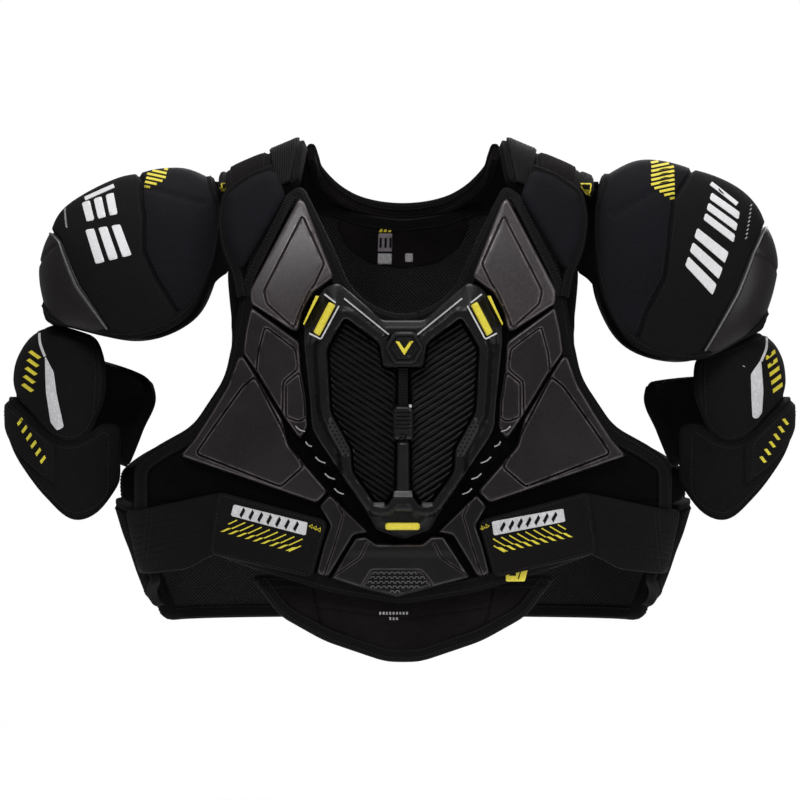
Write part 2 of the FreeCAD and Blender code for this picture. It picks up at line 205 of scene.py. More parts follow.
def joined(shapes):
    """One shape made of several."""
    points, faces, uv, edge, kinds, start = [], [], [], [], [], 0
    for shape in shapes:
        points.append(shape.points)
        uv.append(shape.uv)
        edge.append(shape.edge)
        faces += [tuple(i + start for i in f) for f in shape.faces]
        kinds += list(shape.face_material or [0] * len(shape.faces))
        start += len(shape.points)
    return Shape(np.vstack(points), faces, np.vstack(uv), np.concatenate(edge), kinds)


def volume(shape):
    """Six times the signed volume; negative when the faces look inwards."""
    total = 0.0
    p = shape.points
    for f in shape.faces:
        for k in range(1, len(f) - 1):
            total += np.dot(p[f[0]], np.cross(p[f[k]], p[f[k + 1]]))
    return total


def piece(name, shape, materials, body, slot, replaces=(), sharp=38.0, padded=None):
    """Blender object from a closed shape, facing outwards, riding on a CAD body."""
    if volume(shape) < 0:
        shape.faces = [f[::-1] for f in shape.faces]
    mesh = bpy.data.meshes.new(name)
    mesh.from_pydata((shape.points * MM).tolist(), [], [tuple(int(i) for i in f) for f in shape.faces])
    corner_vertices = np.zeros(len(mesh.loops), np.int32)
    mesh.loops.foreach_get("vertex_index", corner_vertices)
    layer = mesh.uv_layers.new(name="UVMap")
    layer.data.foreach_set("uv", shape.uv[corner_vertices].astype(np.float32).ravel())
    values = mesh.attributes.new("edge", "FLOAT", "POINT")
    values.data.foreach_set("value", shape.edge.astype(np.float32))
    materials = materials if isinstance(materials, (list, tuple)) else [materials]
    for item in materials:
        mesh.materials.append(item)
    if shape.face_material is not None and len(materials) > 1:
        mesh.polygons.foreach_set("material_index", np.array(shape.face_material, np.int32))
    mesh.validate()
    mesh.shade_smooth()
    mesh.set_sharp_from_angle(angle=math.radians(sharp))
    made = bpy.data.objects.new(name, mesh)
    bpy.context.scene.collection.objects.link(made)
    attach(made, body)
    if replaces:
        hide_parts(*replaces)
    return made


def plate(outline, place, profile, bottom, radius=3.0, step=2.4, grooves=(), relief=None,
          holes=()):
    """Closed solid with a shaped top, laid on a surface.

    place(x, z, h) gives the surface's points, profile is (distance from the outline, height)
    pairs, grooves are (path, half width, depth), and relief(points, distances from the
    outline) adds to the height.
    """
    loops = [anticlockwise(rounded(outline, radius, step))]
    loops += [anticlockwise(rounded(hole, radius, step))[::-1] for hole in holes]

    def from_edge(points):
        return np.min([distance(points, loop) for loop in loops], axis=0)

    def within(points):
        result = inside(points, loops[0])
        for loop in loops[1:]:
            result &= ~inside(points, loop)
        return result

    depths = [d for d, _ in profile[1:]]
    rings = []
    for loop in loops:
        inward = side_normals(loop, True)
        for depth in depths:
            ring = loop + inward * depth
            rings.append(ring[from_edge(ring) > depth * 0.97])
    lines = [(rounded(path, 2.0, step, False), wide, deep) for path, wide, deep in grooves]
    cuts = []
    for path, wide, _ in lines:
        across = side_normals(path, False)
        cuts += [path + across * wide * k for k in (-1.0, -0.5, 0.0, 0.5, 1.0)]
    fill = lattice(loops[0], step)
    away = from_edge(fill)
    keep = away > 0.6 * step
    for depth in depths:
        keep &= np.abs(away - depth) > 0.3 * step
    for path, wide, _ in lines:
        keep &= distance(fill, path, False) > 1.25 * wide
    extra = np.vstack(rings + cuts + [fill[keep]])
    extra = extra[within(extra)]
    extra = extra[from_edge(extra) > min(depths + [step]) * 0.8]
    edges, start = [], 0
    for loop in loops:
        count = len(loop)
        edges += [(start + i, start + (i + 1) % count) for i in range(count)]
        start += count
    flat = np.vstack(loops + [extra])
    found, _, triangles, _, _, _ = geometry.delaunay_2d_cdt(
        [Vector(p) for p in flat], edges, [], 0, 1e-4)
    flat = np.array([[v.x, v.y] for v in found])
    centres = np.array([flat[list(t)].mean(0) for t in triangles])
    kept = within(centres)
    triangles = [tuple(t) for t, ok in zip(triangles, kept) if ok]
    away = from_edge(flat)
    heights = np.interp(away, [d for d, _ in profile], [h for _, h in profile])
    edge = away
    for path, wide, deep in lines:
        gap = distance(flat, path, False)
        heights -= deep * crossing_weight(gap, wide)
        # Groove lips count as edges here, so the painted edge highlight runs along them too.
        edge = np.minimum(edge, gap - wide + 1.5)
    if relief is not None:
        heights += relief(flat, away)
    top = place(flat[:, 0], flat[:, 1], heights)
    low = place(flat[:, 0], flat[:, 1], np.full(len(flat), float(bottom)))
    count = len(flat)
    faces = triangles + [tuple(i + count for i in reversed(t)) for t in triangles]
    sides = {(t[k], t[(k + 1) % 3]) for t in triangles for k in range(3)}
    faces += [(j, i, i + count, j + count) for i, j in sorted(sides) if (j, i) not in sides]
    uv = np.vstack([flat, flat])
    return Shape(np.vstack([top, low]), faces, uv, np.concatenate([edge, np.zeros(count)]))


def ring_faces(count, ring, closed):
    """Faces through 'count' rings of 'ring' points each; end faces unless it closes."""
    faces = []
    for i in range(count if closed else count - 1):
        a, b = i * ring, ((i + 1) % count) * ring
        for k in range(ring):
            n = (k + 1) % ring
            faces.append((a + k, a + n, b + n, b + k))
    if not closed:
        faces.append(tuple(range(ring))[::-1])
        faces.append(tuple((count - 1) * ring + k for k in range(ring)))
    return faces


def tube(path, ups, section, closed=False):
    """Closed solid of one section, (across, up) points, carried along a path."""
    path, ups = np.asarray(path, float), unit(ups)
    along = unit(heading(path, closed))
    across = unit(np.cross(along, ups))
    ups = np.cross(across, along)
    section = np.asarray(section, float)
    count, ring = len(path), len(section)
    points = (path[:, None] + across[:, None] * section[None, :, :1]
              + ups[:, None] * section[None, :, 1:])
    spots = np.meshgrid(arc_lengths(path), arc_lengths(section), indexing="ij")
    uv = np.stack(spots, -1).reshape(-1, 2)
    return Shape(points.reshape(-1, 3), ring_faces(count, ring, closed), uv)


def surface_path(flat, place, height=0.0):
    """Points and outward directions of a flat path laid on a surface."""
    x, z = flat[:, 0], flat[:, 1]
    reach = 0.6

    def at(dx, dz, dh=0.0):
        return place(x + dx, z + dz, np.full(len(x), height + dh))

    ups = unit(np.cross(at(reach, 0) - at(-reach, 0), at(0, reach) - at(0, -reach)))
    return at(0, 0), facing(ups, at(0, 0, 1.0) - at(0, 0))


# Rings of one stitch: share of its length, share of its radius, lift in radii.
STITCH_RINGS = [(-0.5, 0.35, -0.2), (-0.28, 1.0, 0.35), (0.28, 1.0, 0.35), (0.5, 0.35, -0.2)]


def stitch_row(path, ups, pitch=3.2, length=2.1, radius=0.3, closed=False):
    """Row of thread stitches along a path on a surface."""
    spots = resample(np.hstack([path, ups]), pitch, closed)
    centre, up = spots[:, :3], unit(spots[:, 3:])
    along = unit(heading(centre, closed))
    across = np.cross(along, up)
    sides = 6
    turn = np.arange(sides) * 2.0 * math.pi / sides
    points = []
    for share, size, lift in STITCH_RINGS:
        middle = centre + along * share * length + up * lift * radius
        for angle in turn:
            points.append(middle + (across * math.cos(angle) + up * math.sin(angle))
                          * radius * size)
    points = np.array(points).transpose(1, 0, 2)
    count = len(STITCH_RINGS) * sides
    stitch = ring_faces(len(STITCH_RINGS), sides, False)
    faces = [tuple(s * count + k for k in face) for s in range(len(centre)) for face in stitch]
    return Shape(points.reshape(-1, 3), faces)


def seam_rows(path, place, rows, closed=True):
    """Stitch rows beside a flat path; rows are (distance to the left, height) pairs."""
    left = side_normals(path, closed)
    return [stitch_row(*surface_path(path + left * inset, place, height), closed=closed)
            for inset, height in rows]


def on_skin(shape, back=False):
    """place() for a built shape, seen along Y from the front or the back."""
    tree = BVHTree.FromPolygons([tuple(p) for p in shape.points], shape.faces)
    outside = 500.0 if back else -500.0
    look = Vector((0, -1, 0)) if back else Vector((0, 1, 0))

    def place(x, z, h):
        result = []
        for px, pz, height in zip(x, z, h):
            hit, normal, _, _ = tree.ray_cast(Vector((px, outside, pz)), look)
            if hit is None:
                hit, normal, _, _ = tree.find_nearest(Vector((px, outside * 0.3, pz)))
            if normal.dot(look) > 0:
                normal = -normal
            result.append(hit + normal * height)
        return np.array([tuple(p) for p in result])
    return place


def skin_solid(outer, inner, uv=None, materials=(0, 0)):
    """Closed solid between two point grids (rows, columns, 3) of the same size."""
    rows, columns = outer.shape[:2]
    count = rows * columns
    points = np.vstack([outer.reshape(-1, 3), inner.reshape(-1, 3)])
    faces, kinds = [], []
    for i in range(rows - 1):
        for j in range(columns - 1):
            a = i * columns + j
            quad = (a, a + 1, a + columns + 1, a + columns)
            faces += [quad, tuple(k + count for k in reversed(quad))]
            kinds += [materials[0], materials[1]]
    border = (list(range(columns))
              + [i * columns + columns - 1 for i in range(1, rows)]
              + [(rows - 1) * columns + j for j in range(columns - 2, -1, -1)]
              + [i * columns for i in range(rows - 2, 0, -1)])
    for a, b in zip(border, border[1:] + border[:1]):
        faces.append((b, a, a + count, b + count))
        kinds.append(materials[0])
    if uv is None:
        uv = grid_uv(outer)
    return Shape(points, faces, np.vstack([uv, uv]), None, kinds)


def grid_uv(grid):
    """Arc lengths along rows and columns of a grid, in millimetres."""
    down = np.linalg.norm(np.diff(grid, axis=0), axis=2)
    along = np.linalg.norm(np.diff(grid, axis=1), axis=2)
    v = np.vstack([np.zeros(grid.shape[1]), np.cumsum(down, axis=0)])
    u = np.hstack([np.zeros((grid.shape[0], 1)), np.cumsum(along, axis=1)])
    u -= u[:, u.shape[1] // 2][:, None]
    return np.stack([u, v], -1).reshape(-1, 2)


def grid_normals(grid):
    """Unit normals of a point grid, all to one side."""
    down, along = np.gradient(grid, axis=0), np.gradient(grid, axis=1)
    return unit(np.cross(down, along))


def both_halves(points):
    """Whole outline from its right half."""
    return list(points) + [(-x, z) for x, z in reversed(points) if abs(x) > 0.01]


def puffed(shape, pressure=4.0, limit=2.4, voxel=4.5, frames=14):
    """Shape swollen by a cloth simulation with its underside held; seams and mapping stay.

    The simulation runs on a coarse even copy, and its movement is carried over to the shape.
    """
    scene = bpy.context.scene
    mesh = bpy.data.meshes.new("Doll")
    mesh.from_pydata((shape.points * MM).tolist(), [], [tuple(map(int, f)) for f in shape.faces])
    doll = bpy.data.objects.new("Doll", mesh)
    scene.collection.objects.link(doll)
    even = doll.modifiers.new("Even", "REMESH")
    even.mode = "VOXEL"
    even.voxel_size = voxel * MM
    doll.data = bpy.data.meshes.new_from_object(
        doll.evaluated_get(bpy.context.evaluated_depsgraph_get()))
    doll.modifiers.clear()
    start = np.array([v.co[:] for v in doll.data.vertices])
    own = KDTree(len(shape.points))
    for k, point in enumerate(shape.points * MM):
        own.insert(point, k)
    own.balance()
    underside = len(shape.points) // 2
    held = [k for k, point in enumerate(start) if own.find(point)[1] >= underside]
    doll.vertex_groups.new(name="Held").add(held, 1.0, "REPLACE")
    cloth = doll.modifiers.new("Cloth", "CLOTH").settings
    cloth.vertex_group_mass = "Held"
    cloth.use_pressure = True
    cloth.uniform_pressure_force = pressure
    cloth.effector_weights.gravity = 0.0
    for frame_number in range(1, frames + 1):
        scene.frame_set(frame_number)
    done = doll.evaluated_get(bpy.context.evaluated_depsgraph_get())
    end = np.array([v.co[:] for v in done.data.vertices])
    move = (end - start) / MM
    long = np.linalg.norm(move, axis=1, keepdims=True)
    move *= np.minimum(1.0, limit / np.maximum(long, 1e-9))
    coarse = KDTree(len(start))
    for k, point in enumerate(start):
        coarse.insert(point, k)
    coarse.balance()
    points = shape.points.copy()
    for k in range(underside):
        near = coarse.find_n(shape.points[k] * MM, 6)
        weights = np.array([1.0 / (gap + 0.5 * MM) for _, _, gap in near])
        shift = sum(w * move[j] for w, (_, j, _) in zip(weights, near)) / weights.sum()
        points[k] += shift
    bpy.data.objects.remove(doll)
    scene.frame_set(1)
    return Shape(points, shape.faces, shape.uv, shape.edge, shape.face_material)


# ---------------------------------------------------------------- materials
class Graph:
    """Small helper that wires up one material's nodes."""

    def __init__(self, name):
        self.material = bpy.data.materials.new(name)
        self.material.use_nodes = True
        self.tree = self.material.node_tree
        self.tree.nodes.clear()

    def node(self, kind, sockets=None, **settings):
        """New node; each socket takes a value or another node's output."""
        made = self.tree.nodes.new("ShaderNode" + kind)
        for key, value in settings.items():
            setattr(made, key, value)
        for key, value in (sockets or {}).items():
            if isinstance(value, bpy.types.NodeSocket):
                self.tree.links.new(value, made.inputs[key])
            else:
                made.inputs[key].default_value = value
        return made

    def math(self, operation, a, b=0.0, c=0.0):
        return self.node("Math", {0: a, 1: b, 2: c}, operation=operation).outputs[0]

    def wave(self, value, pitch):
        """0 to 1 and back over one pitch."""
        turns = self.math("MULTIPLY", value, 2.0 * math.pi / pitch)
        return self.math("MULTIPLY_ADD", self.math("SINE", turns), 0.5, 0.5)

    def noise(self, vector, scale, detail=3.0, rough=0.55):
        made = self.node("TexNoise", {"Vector": vector, "Scale": scale, "Detail": detail,
                                      "Roughness": rough})
        return made.outputs["Fac"]

    def ramp(self, value, low, high):
        """Smooth step from 0 at 'low' to 1 at 'high'."""
        made = self.node("MapRange", {0: value, 1: low, 2: high, 3: 0.0, 4: 1.0},
                         interpolation_type="SMOOTHSTEP")
        return made.outputs[0]

    def mix(self, share, a, b):
        made = self.node("Mix", {0: share, 6: a, 7: b}, data_type="RGBA")
        return made.outputs[2]


def shade(colour, factor):
    """Colour made lighter or darker, with full opacity."""
    return (*[min(1.0, c * factor) for c in colour], 1.0)


def pattern_height(g, pattern, u, v, pitch):
    """Height, 0 to 1, of a woven, knitted or moulded pattern; u and v are in millimetres."""
    total, offset = g.math("ADD", u, v), g.math("SUBTRACT", u, v)
    if pattern == "weave":
        over = g.math("MULTIPLY", g.wave(u, pitch), g.wave(v, pitch))
        under = g.math("MULTIPLY", g.math("SUBTRACT", 1.0, g.wave(u, pitch)),
                       g.math("SUBTRACT", 1.0, g.wave(v, pitch)))
        return g.math("ADD", over, under)
    if pattern == "twill":
        return g.math("MULTIPLY", g.wave(total, pitch * 1.4),
                      g.math("MULTIPLY_ADD", g.wave(offset, pitch * 0.7), 0.4, 0.6))
    if pattern == "knit":
        bent = g.math("MULTIPLY_ADD", g.wave(u, pitch), pitch * 0.5, v)
        return g.math("MULTIPLY", g.math("POWER", g.wave(u, pitch), 0.6), g.wave(bent, pitch))
    if pattern == "ribs":
        return g.math("MULTIPLY_ADD", g.wave(u, pitch), 0.8,
                      g.math("MULTIPLY", g.wave(v, pitch * 0.8), 0.2))
    if pattern == "lattice":
        rising = g.math("POWER", g.wave(offset, pitch), 2.0)
        falling = g.math("POWER", g.wave(total, pitch * 1.3), 2.0)
        return g.math("MAXIMUM", rising, g.math("MULTIPLY", falling, 0.55))
    if pattern == "mesh":
        shifted = g.math("MULTIPLY_ADD", g.wave(v, pitch * 2.0), pitch * 0.5, u)
        holes = g.math("MULTIPLY", g.wave(shifted, pitch), g.wave(v, pitch))
        return g.math("SUBTRACT", 1.0, g.ramp(holes, 0.3, 0.65))
    cells = g.node("TexVoronoi", {"Vector": g.node("CombineXYZ", {0: u, 1: v}).outputs[0],
                                  "Scale": 1.0 / pitch, "Randomness": 0.12},
                   feature="DISTANCE_TO_EDGE")
    return g.ramp(cells.outputs["Distance"], 0.04, 0.2)


def material(name, colour, tint=1.35, rough=0.7, level=0.35, sheen=0.0, pattern=None,
             pitch=1.6, depth=0.25, dark=0.55, grain=0.05, grain_size=0.9, patch=45.0,
             edge_highlight=0.0, highlight_inset=2.2, highlight_lift=3.2, mottle=0.3, flat=False):
    """Procedural surface; lengths are in millimetres.

    'tint' is how much lighter the slow colour patches get, 'dark' how dark the low parts of
    the pattern are, and 'edge_highlight' how strong a painted highlight line runs
    'highlight_inset' inside the edges, standing in for light caught by bevels and groove lips;
    'highlight_lift' times the colour is the lightest it gets, 'mottle' the strength of fine patches.
    'flat' lays the pattern on front view instead of along the piece.
    """
    g = Graph(name)
    place = g.node("TexCoord").outputs["Object"]
    split = g.node("SeparateXYZ", {0: g.node("UVMap").outputs[0]})
    u, v = split.outputs[0], split.outputs[1]
    if flat:
        split = g.node("SeparateXYZ", {0: place})
        u = g.math("MULTIPLY", split.outputs[0], 1000.0)
        v = g.math("MULTIPLY", split.outputs[2], 1000.0)
    patches = g.noise(place, 1000.0 / patch, 4.0)
    surface = g.mix(g.ramp(patches, 0.35, 0.7), shade(colour, 1.0), shade(colour, tint))
    specks = g.math("MULTIPLY", g.ramp(g.noise(place, 420.0, 2.0), 0.42, 0.66), mottle)
    surface = g.mix(specks, surface, shade(colour, 2.1))
    fine = g.noise(place, 1000.0 / grain_size, 2.0, 0.7)
    height = g.math("MULTIPLY", fine, grain)
    if pattern:
        relief = pattern_height(g, pattern, u, v, pitch)
        surface = g.mix(relief, g.mix(0.5, shade(colour, dark * 0.6), shade(colour, dark)),
                        surface)
        height = g.math("MULTIPLY_ADD", relief, depth, height)
    roughness = g.math("MULTIPLY_ADD", patches, 0.16, rough - 0.08)
    # Painted highlight: a lighter, smoother line just inside the edges, standing in for the light
    # caught by bevels and groove lips.
    if edge_highlight:
        edge = g.node("Attribute", attribute_name="edge").outputs["Fac"]
        gap = g.math("ABSOLUTE", g.math("SUBTRACT", edge, highlight_inset))
        near = g.math("SUBTRACT", 1.0, g.ramp(gap, 0.15, 0.75))
        highlight_mask = g.math("MULTIPLY", near, g.ramp(g.noise(place, 90.0, 3.0), 0.25, 0.55))
        surface = g.mix(g.math("MULTIPLY", highlight_mask, edge_highlight), surface, shade(colour, highlight_lift))
        roughness = g.math("MULTIPLY_ADD", highlight_mask, -0.12, roughness)
    bump = g.node("Bump", {"Height": height, "Distance": MM, "Strength": 1.0})
    sockets = {"Base Color": surface, "Roughness": roughness, "Specular IOR Level": level,
               "Normal": bump.outputs[0], "Sheen Weight": sheen, "Sheen Roughness": 0.5}
    shader = g.node("BsdfPrincipled", sockets)
    g.node("OutputMaterial", {0: shader.outputs[0]})
    return g.material


EVA = (0.0112, 0.0094, 0.0099)
NAVY = (0.0049, 0.0046, 0.0066)
YELLOW = (0.82, 0.68, 0.06)

# Moulded foam and the plastics below carry a painted highlight line just inside their edges.
foam = material("MouldedFoam", EVA, rough=0.4, level=0.3, grain=0.11, grain_size=1.4, edge_highlight=0.9,
                highlight_inset=1.6, highlight_lift=9.0)
# Darker copy of the moulded foam: painted shade for the waist and abdomen plates, which sit lower and
# in shadow.
shaded_low_foam = material("ShadedLowerFoam", shade(EVA, 0.45)[:3], rough=0.42, level=0.26, grain=0.11,
                    grain_size=1.4, edge_highlight=0.9, highlight_inset=1.6, highlight_lift=11.0)
# Lighter copy of the moulded foam: painted light from above on the clavicle plates' upward-facing
# tops.
lit_kite_foam = material("LitUpperFoam", (0.036, 0.030, 0.033), rough=0.4, level=0.5, grain=0.1,
                     grain_size=1.2, tint=1.25, edge_highlight=0.8, highlight_inset=1.6, highlight_lift=4.5)
frame_plastic = material("FramePlastic", (0.0065, 0.0065, 0.007), rough=0.34, level=0.24,
                         grain=0.05, grain_size=0.6, edge_highlight=0.6, highlight_inset=1.3, highlight_lift=6.0)
slider_plastic = material("SliderPlastic", (0.007, 0.007, 0.0074), rough=0.32, level=0.36,
                          grain=0.05, grain_size=0.5, edge_highlight=0.4, highlight_inset=1.0)
# Light grey plastic; on the caps' foam edge ridges it serves as a painted highlight.
light_plastic = material("LightPlastic", (0.075, 0.075, 0.078), rough=0.4, level=0.5, grain=0.04,
                         grain_size=0.5)
patch_plastic = material("PatchPlastic", (0.018, 0.018, 0.019), rough=0.45, level=0.3, grain=0.1,
                         grain_size=0.6)
rib_foam = material("RibbedFoam", (0.0024, 0.0024, 0.0026), rough=0.42, level=0.17, grain=0.08)
knit = material("Knit", (0.0062, 0.0058, 0.0062), rough=0.85, level=0.08, sheen=0.01,
                pattern="knit", pitch=1.5, depth=0.3, flat=True)
loop_cloth = material("LoopCloth", (0.0036, 0.0034, 0.0042), rough=0.95, level=0.04, sheen=0.008,
                      pattern="knit", pitch=1.1, depth=0.35, grain=0.35, grain_size=0.8,
                      flat=True, tint=1.9)
lining_mesh = material("LiningMesh", (0.025, 0.025, 0.0255), rough=0.8, level=0.1,
                       pattern="lattice", pitch=2.9, depth=0.6, dark=0.03, flat=True)
sleeve_mesh = material("SleeveMesh", (0.0085, 0.0085, 0.009), rough=0.85, level=0.08,
                       pattern="mesh", pitch=2.1, depth=0.6, dark=0.2)
binding_cloth = material("BindingCloth", (0.0068, 0.0062, 0.007), rough=0.8, level=0.09,
                         pattern="weave", pitch=1.5, depth=0.35, dark=0.4)
elastic_cloth = material("ElasticCloth", (0.0078, 0.0067, 0.0078), rough=0.75, level=0.08,
                         pattern="ribs", pitch=1.5, depth=0.22, dark=0.6, grain=0.06)
web_cloth = material("WebCloth", (0.0085, 0.0074, 0.0082), rough=0.75, level=0.1,
                     pattern="ribs", pitch=2.1, depth=0.4, dark=0.25)
neoprene = material("Neoprene", NAVY, rough=0.72, level=0.08, sheen=0.012, grain=0.05,
                    grain_size=0.5, tint=1.3)
black_knit = material("BlackKnit", (0.0075, 0.0064, 0.0068), rough=0.8, level=0.1, sheen=0.01,
                      pattern="weave", pitch=1.3, depth=0.2, dark=0.45)
cap_foam = material("CapFoam", EVA, rough=0.42, level=0.3, grain=0.06, grain_size=0.8)
wrap_cloth = material("WrapCloth", (0.0078, 0.007, 0.0074), rough=0.78, level=0.08, sheen=0.008,
                      pattern="weave", pitch=1.2, depth=0.18, dark=0.5)
fuzzy_cloth = material("FuzzyCloth", (0.0058, 0.0048, 0.0052), rough=0.95, level=0.05,
                       sheen=0.012, grain=0.9, grain_size=1.6, tint=1.8)
thread = material("Thread", (0.017, 0.0155, 0.017), rough=0.7, level=0.15, grain=0.1,
                  grain_size=0.4)
yellow = material("YellowTrim", YELLOW, tint=1.06, rough=0.42, level=0.4, grain=0.02,
                  grain_size=0.5)
yellow_print = material("YellowPrint", (0.72, 0.60, 0.05), tint=1.1, rough=0.55, level=0.3,
                        grain=0.1, grain_size=0.5)
silver_print = material("SilverPrint", (0.58, 0.57, 0.59), tint=1.15, rough=0.34, level=0.5,
                        grain=0.25, grain_size=0.7)
white_print = material("WhitePrint", (0.78, 0.77, 0.79), tint=1.06, rough=0.4, level=0.5,
                       grain=0.15, grain_size=0.6)
# Pale grey print; on the frame it also serves as the painted slit highlights.
pale_print = material("PalePrint", (0.36, 0.35, 0.36), tint=1.1, rough=0.5, level=0.35,
                      grain=0.1, grain_size=0.4)
label_cloth = material("LabelCloth", (0.30, 0.26, 0.29), tint=1.2, rough=0.8, level=0.2,
                       pattern="weave", pitch=0.8, depth=0.1, dark=0.8)


# ---------------------------------------------------------------- torso surface of the frame
# Depth of the torso before and behind its middle plane, and how much less it is at the neck.
CHEST_DEPTH, BACK_DEPTH = 96.0, 92.0
CHEST_DROP, BACK_DROP = 52.0, 40.0
HALF_WIDTH, NECK_NARROWING, WAIST_TAPER = 240.0, 55.0, 0.378
ARMHOLE_FOOT, WAIST = -150.0, -300.0
ROUNDNESS = 2.6
# Heights above the torso: inside of the padded panels, undersides of the foam plates.
PANEL_INSIDE, PLATE_BOTTOM, BACK_PLATE_BOTTOM = -3.0, 10.2, 8.3


def lean(z):
    """How far the panels lean in above the armholes, 1 at the neck."""
    return np.maximum(0.0, (np.asarray(z, float) - ARMHOLE_FOOT) / 150.0)


def half_width(z):
    """Half the torso's width; it tapers below the waist and above the armholes' foot."""
    below = WAIST - np.asarray(z, float)
    taper = WAIST_TAPER * 0.5 * (below + np.hypot(below, 20.0))
    return HALF_WIDTH - taper - NECK_NARROWING * lean(z)


def section_depth(share, z):
    """Depth of the torso's rounded section: 1 at its middle, 0 at its sides."""
    power = ROUNDNESS - 0.6 * lean(z)
    return (1.0 - share ** power) ** (1.0 / power)


def chest(x, z, h):
    """Front of the torso, h millimetres outside it."""
    share = np.clip(np.abs(x) / (half_width(z) + h), 0.0, 0.9995)
    deep = CHEST_DEPTH - CHEST_DROP * lean(z) ** 2 + h
    return np.stack([x, -deep * section_depth(share, z), z], -1)


def laid(path, place, section, closed=False):
    """Closed solid of a section laid along a flat path; section is (to the left, height)."""
    left = side_normals(path, closed)
    columns = [place(*(path + left * d).T, np.full(len(path), float(h))) for d, h in section]
    points = np.stack(columns, 1)
    count, ring = points.shape[:2]
    wide = np.array([d + h for d, h in section])
    uv = np.stack(np.meshgrid(arc_lengths(path), wide, indexing="ij"), -1).reshape(-1, 2)
    return Shape(points.reshape(-1, 3), ring_faces(count, ring, closed), uv)


def flat_band(width, low, high, start=0.0, round_by=0.8):
    """Section of a flat band from 'start' to the left, with eased top corners."""
    return [(start, low), (start, high - round_by), (start + round_by, high),
            (start + width - round_by, high), (start + width, high - round_by),
            (start + width, low)]


def decal(outline, place, height=0.35, radius=0.3, step=1.6, profile=None):
    """Thin printed or moulded mark on a surface."""
    profile = profile or ((0.0, height * 0.4), (0.3, height))
    return plate(outline, place, profile, -0.4, radius, step)


def chip(corners, place, high=0.45, low=-0.4):
    """Small flat mark with crisp edges."""
    corners = anticlockwise(np.array(corners, float))
    flat = np.vstack([np.linspace(a, b, 1 + int(np.linalg.norm(b - a) / 2.5), endpoint=False)
                      for a, b in segments(corners, True)])
    count = len(flat)
    points = np.vstack([place(*flat.T, np.full(count, high)), place(*flat.T, np.full(count, low))])
    faces = [tuple(range(count)), tuple(range(2 * count - 1, count - 1, -1))]
    faces += [(i, count + i, count + (i + 1) % count, (i + 1) % count) for i in range(count)]
    return Shape(points, faces, np.vstack([flat, flat]))


def stroke(start, end, width, place, height=0.35, shear=0.0):
    """Straight bar from start to end; 'shear' slants its ends."""
    start, end = np.array(start, float), np.array(end, float)
    along = unit(end - start)
    side = np.array([-along[1], along[0]]) * width / 2.0
    slant = along * shear
    corners = [start - side - slant, end - side - slant, end + side + slant, start + side + slant]
    return chip(corners, place, height)


def slanted_bars(sign, place, start, step, ends, count, **looks):
    """Row of equal bars; start, step and ends are (outward, up) on either side of the part."""
    bars = []
    for k in range(count):
        x, z = sign * (start[0] + step[0] * k), start[1] + step[1] * k
        first, last = ((x + sign * out, z + up) for out, up in ends)
        bars.append(stroke(first, last, place=place, **looks))
    return joined(bars)


def pair(name, shape, materials, body, slot, replaces=(), **options):
    """A right piece and its mirror image; 'replaces' names nodes without their side."""
    for side in SIDES:
        made = shape if side == "right" else shape.mirrored()
        where = side + "_" + body[1:] if body.startswith("*") else body
        piece(side + "_" + name, made, materials, where, slot,
              [side + "_" + node for node in replaces], **options)


def bind(name, shape, body, cloth=None):
    """Tape bound over an edge."""
    piece(name, shape, cloth or binding_cloth, body, "elastic_web")


def bind_pair(name, shape, body):
    """Tape bound over an edge, on both sides of the part."""
    pair(name, shape, binding_cloth, body, "elastic_web")


def sew(name, rows, body):
    """Rows of stitches as one piece."""
    piece(name, joined(rows), thread, body, "elastic_web")


def sew_pair(name, rows, body):
    """Rows of stitches, on both sides of the part."""
    pair(name, joined(rows), thread, body, "elastic_web")


def facets(polygons, rise, bevel=1.6, groove=1.2, deep=1.6):
    """Relief of raised facets, each with a groove round it."""
    loops = [rounded(polygon, 1.5, 2.4) for polygon in polygons]

    def relief(flat, away):
        total = np.zeros(len(flat))
        for loop in loops:
            gap = distance(flat, loop)
            within = inside(flat, loop)
            total += np.where(within, rise * np.clip(gap / bevel, 0.0, 1.0), 0.0)
            total -= deep * crossing_weight(gap, groove)
        return total
    return relief, [(np.vstack([loop, loop[:1]]), groove, 0.0) for loop in loops]


# ---------------------------------------------------------------- front panel
BASE_HALF = [(0, -146), (-26, -138), (-45.5, -121), (-61, -85), (-81.5, -43), (-86.5, -35),
             (-95, -40), (-118, -60), (-132, -99), (-138, -148), (-148.5, -197),
             (-176, -238), (-211, -257), (-227, -270), (-227, -318), (-212, -324),
             (-130, -354), (-61, -375), (0, -385)]
CLAVICLE = [(-87.5, -44.5), (-83, -49), (-58, -112), (-67, -119), (-75.5, -125), (-84.2, -141),
            (-87.5, -156), (-91, -158), (-127.5, -134.5), (-128.5, -123.5)]
CLAVICLE_FACET = [(-84.5, -60), (-66, -101), (-74, -118), (-78.5, -124), (-88.5, -146),
                  (-91, -155), (-114, -134.5), (-116.5, -123.5)]
PEC = [(-127.5, -136.5), (-86.5, -166.5), (-85, -191.5), (-81, -215), (-79.5, -238),
       (-86.5, -248.5), (-100, -229.5), (-124, -190.5), (-134.5, -175.5), (-132, -156)]
PEC_FACETS = [[(-115.5, -153.5), (-90, -172.5), (-88, -189), (-100.5, -199.5), (-101, -227),
               (-123, -190.5), (-121.5, -176)],
              [(-98, -201), (-86.5, -191.5), (-82.5, -215), (-82, -231), (-88, -233), (-98, -229)]]
RIB = [(-133.5, -178.5), (-124.5, -192.5), (-101, -231), (-96, -253), (-62.5, -291.5),
       (-72, -301.5), (-188, -262), (-176, -248.5), (-160.5, -225), (-147, -202.5),
       (-138, -178)]
RIB_FACET = [(-124, -195.5), (-100.5, -240), (-98.5, -245), (-83.5, -271), (-102.5, -287.5),
             (-174, -260), (-157.5, -236), (-134, -203.5)]
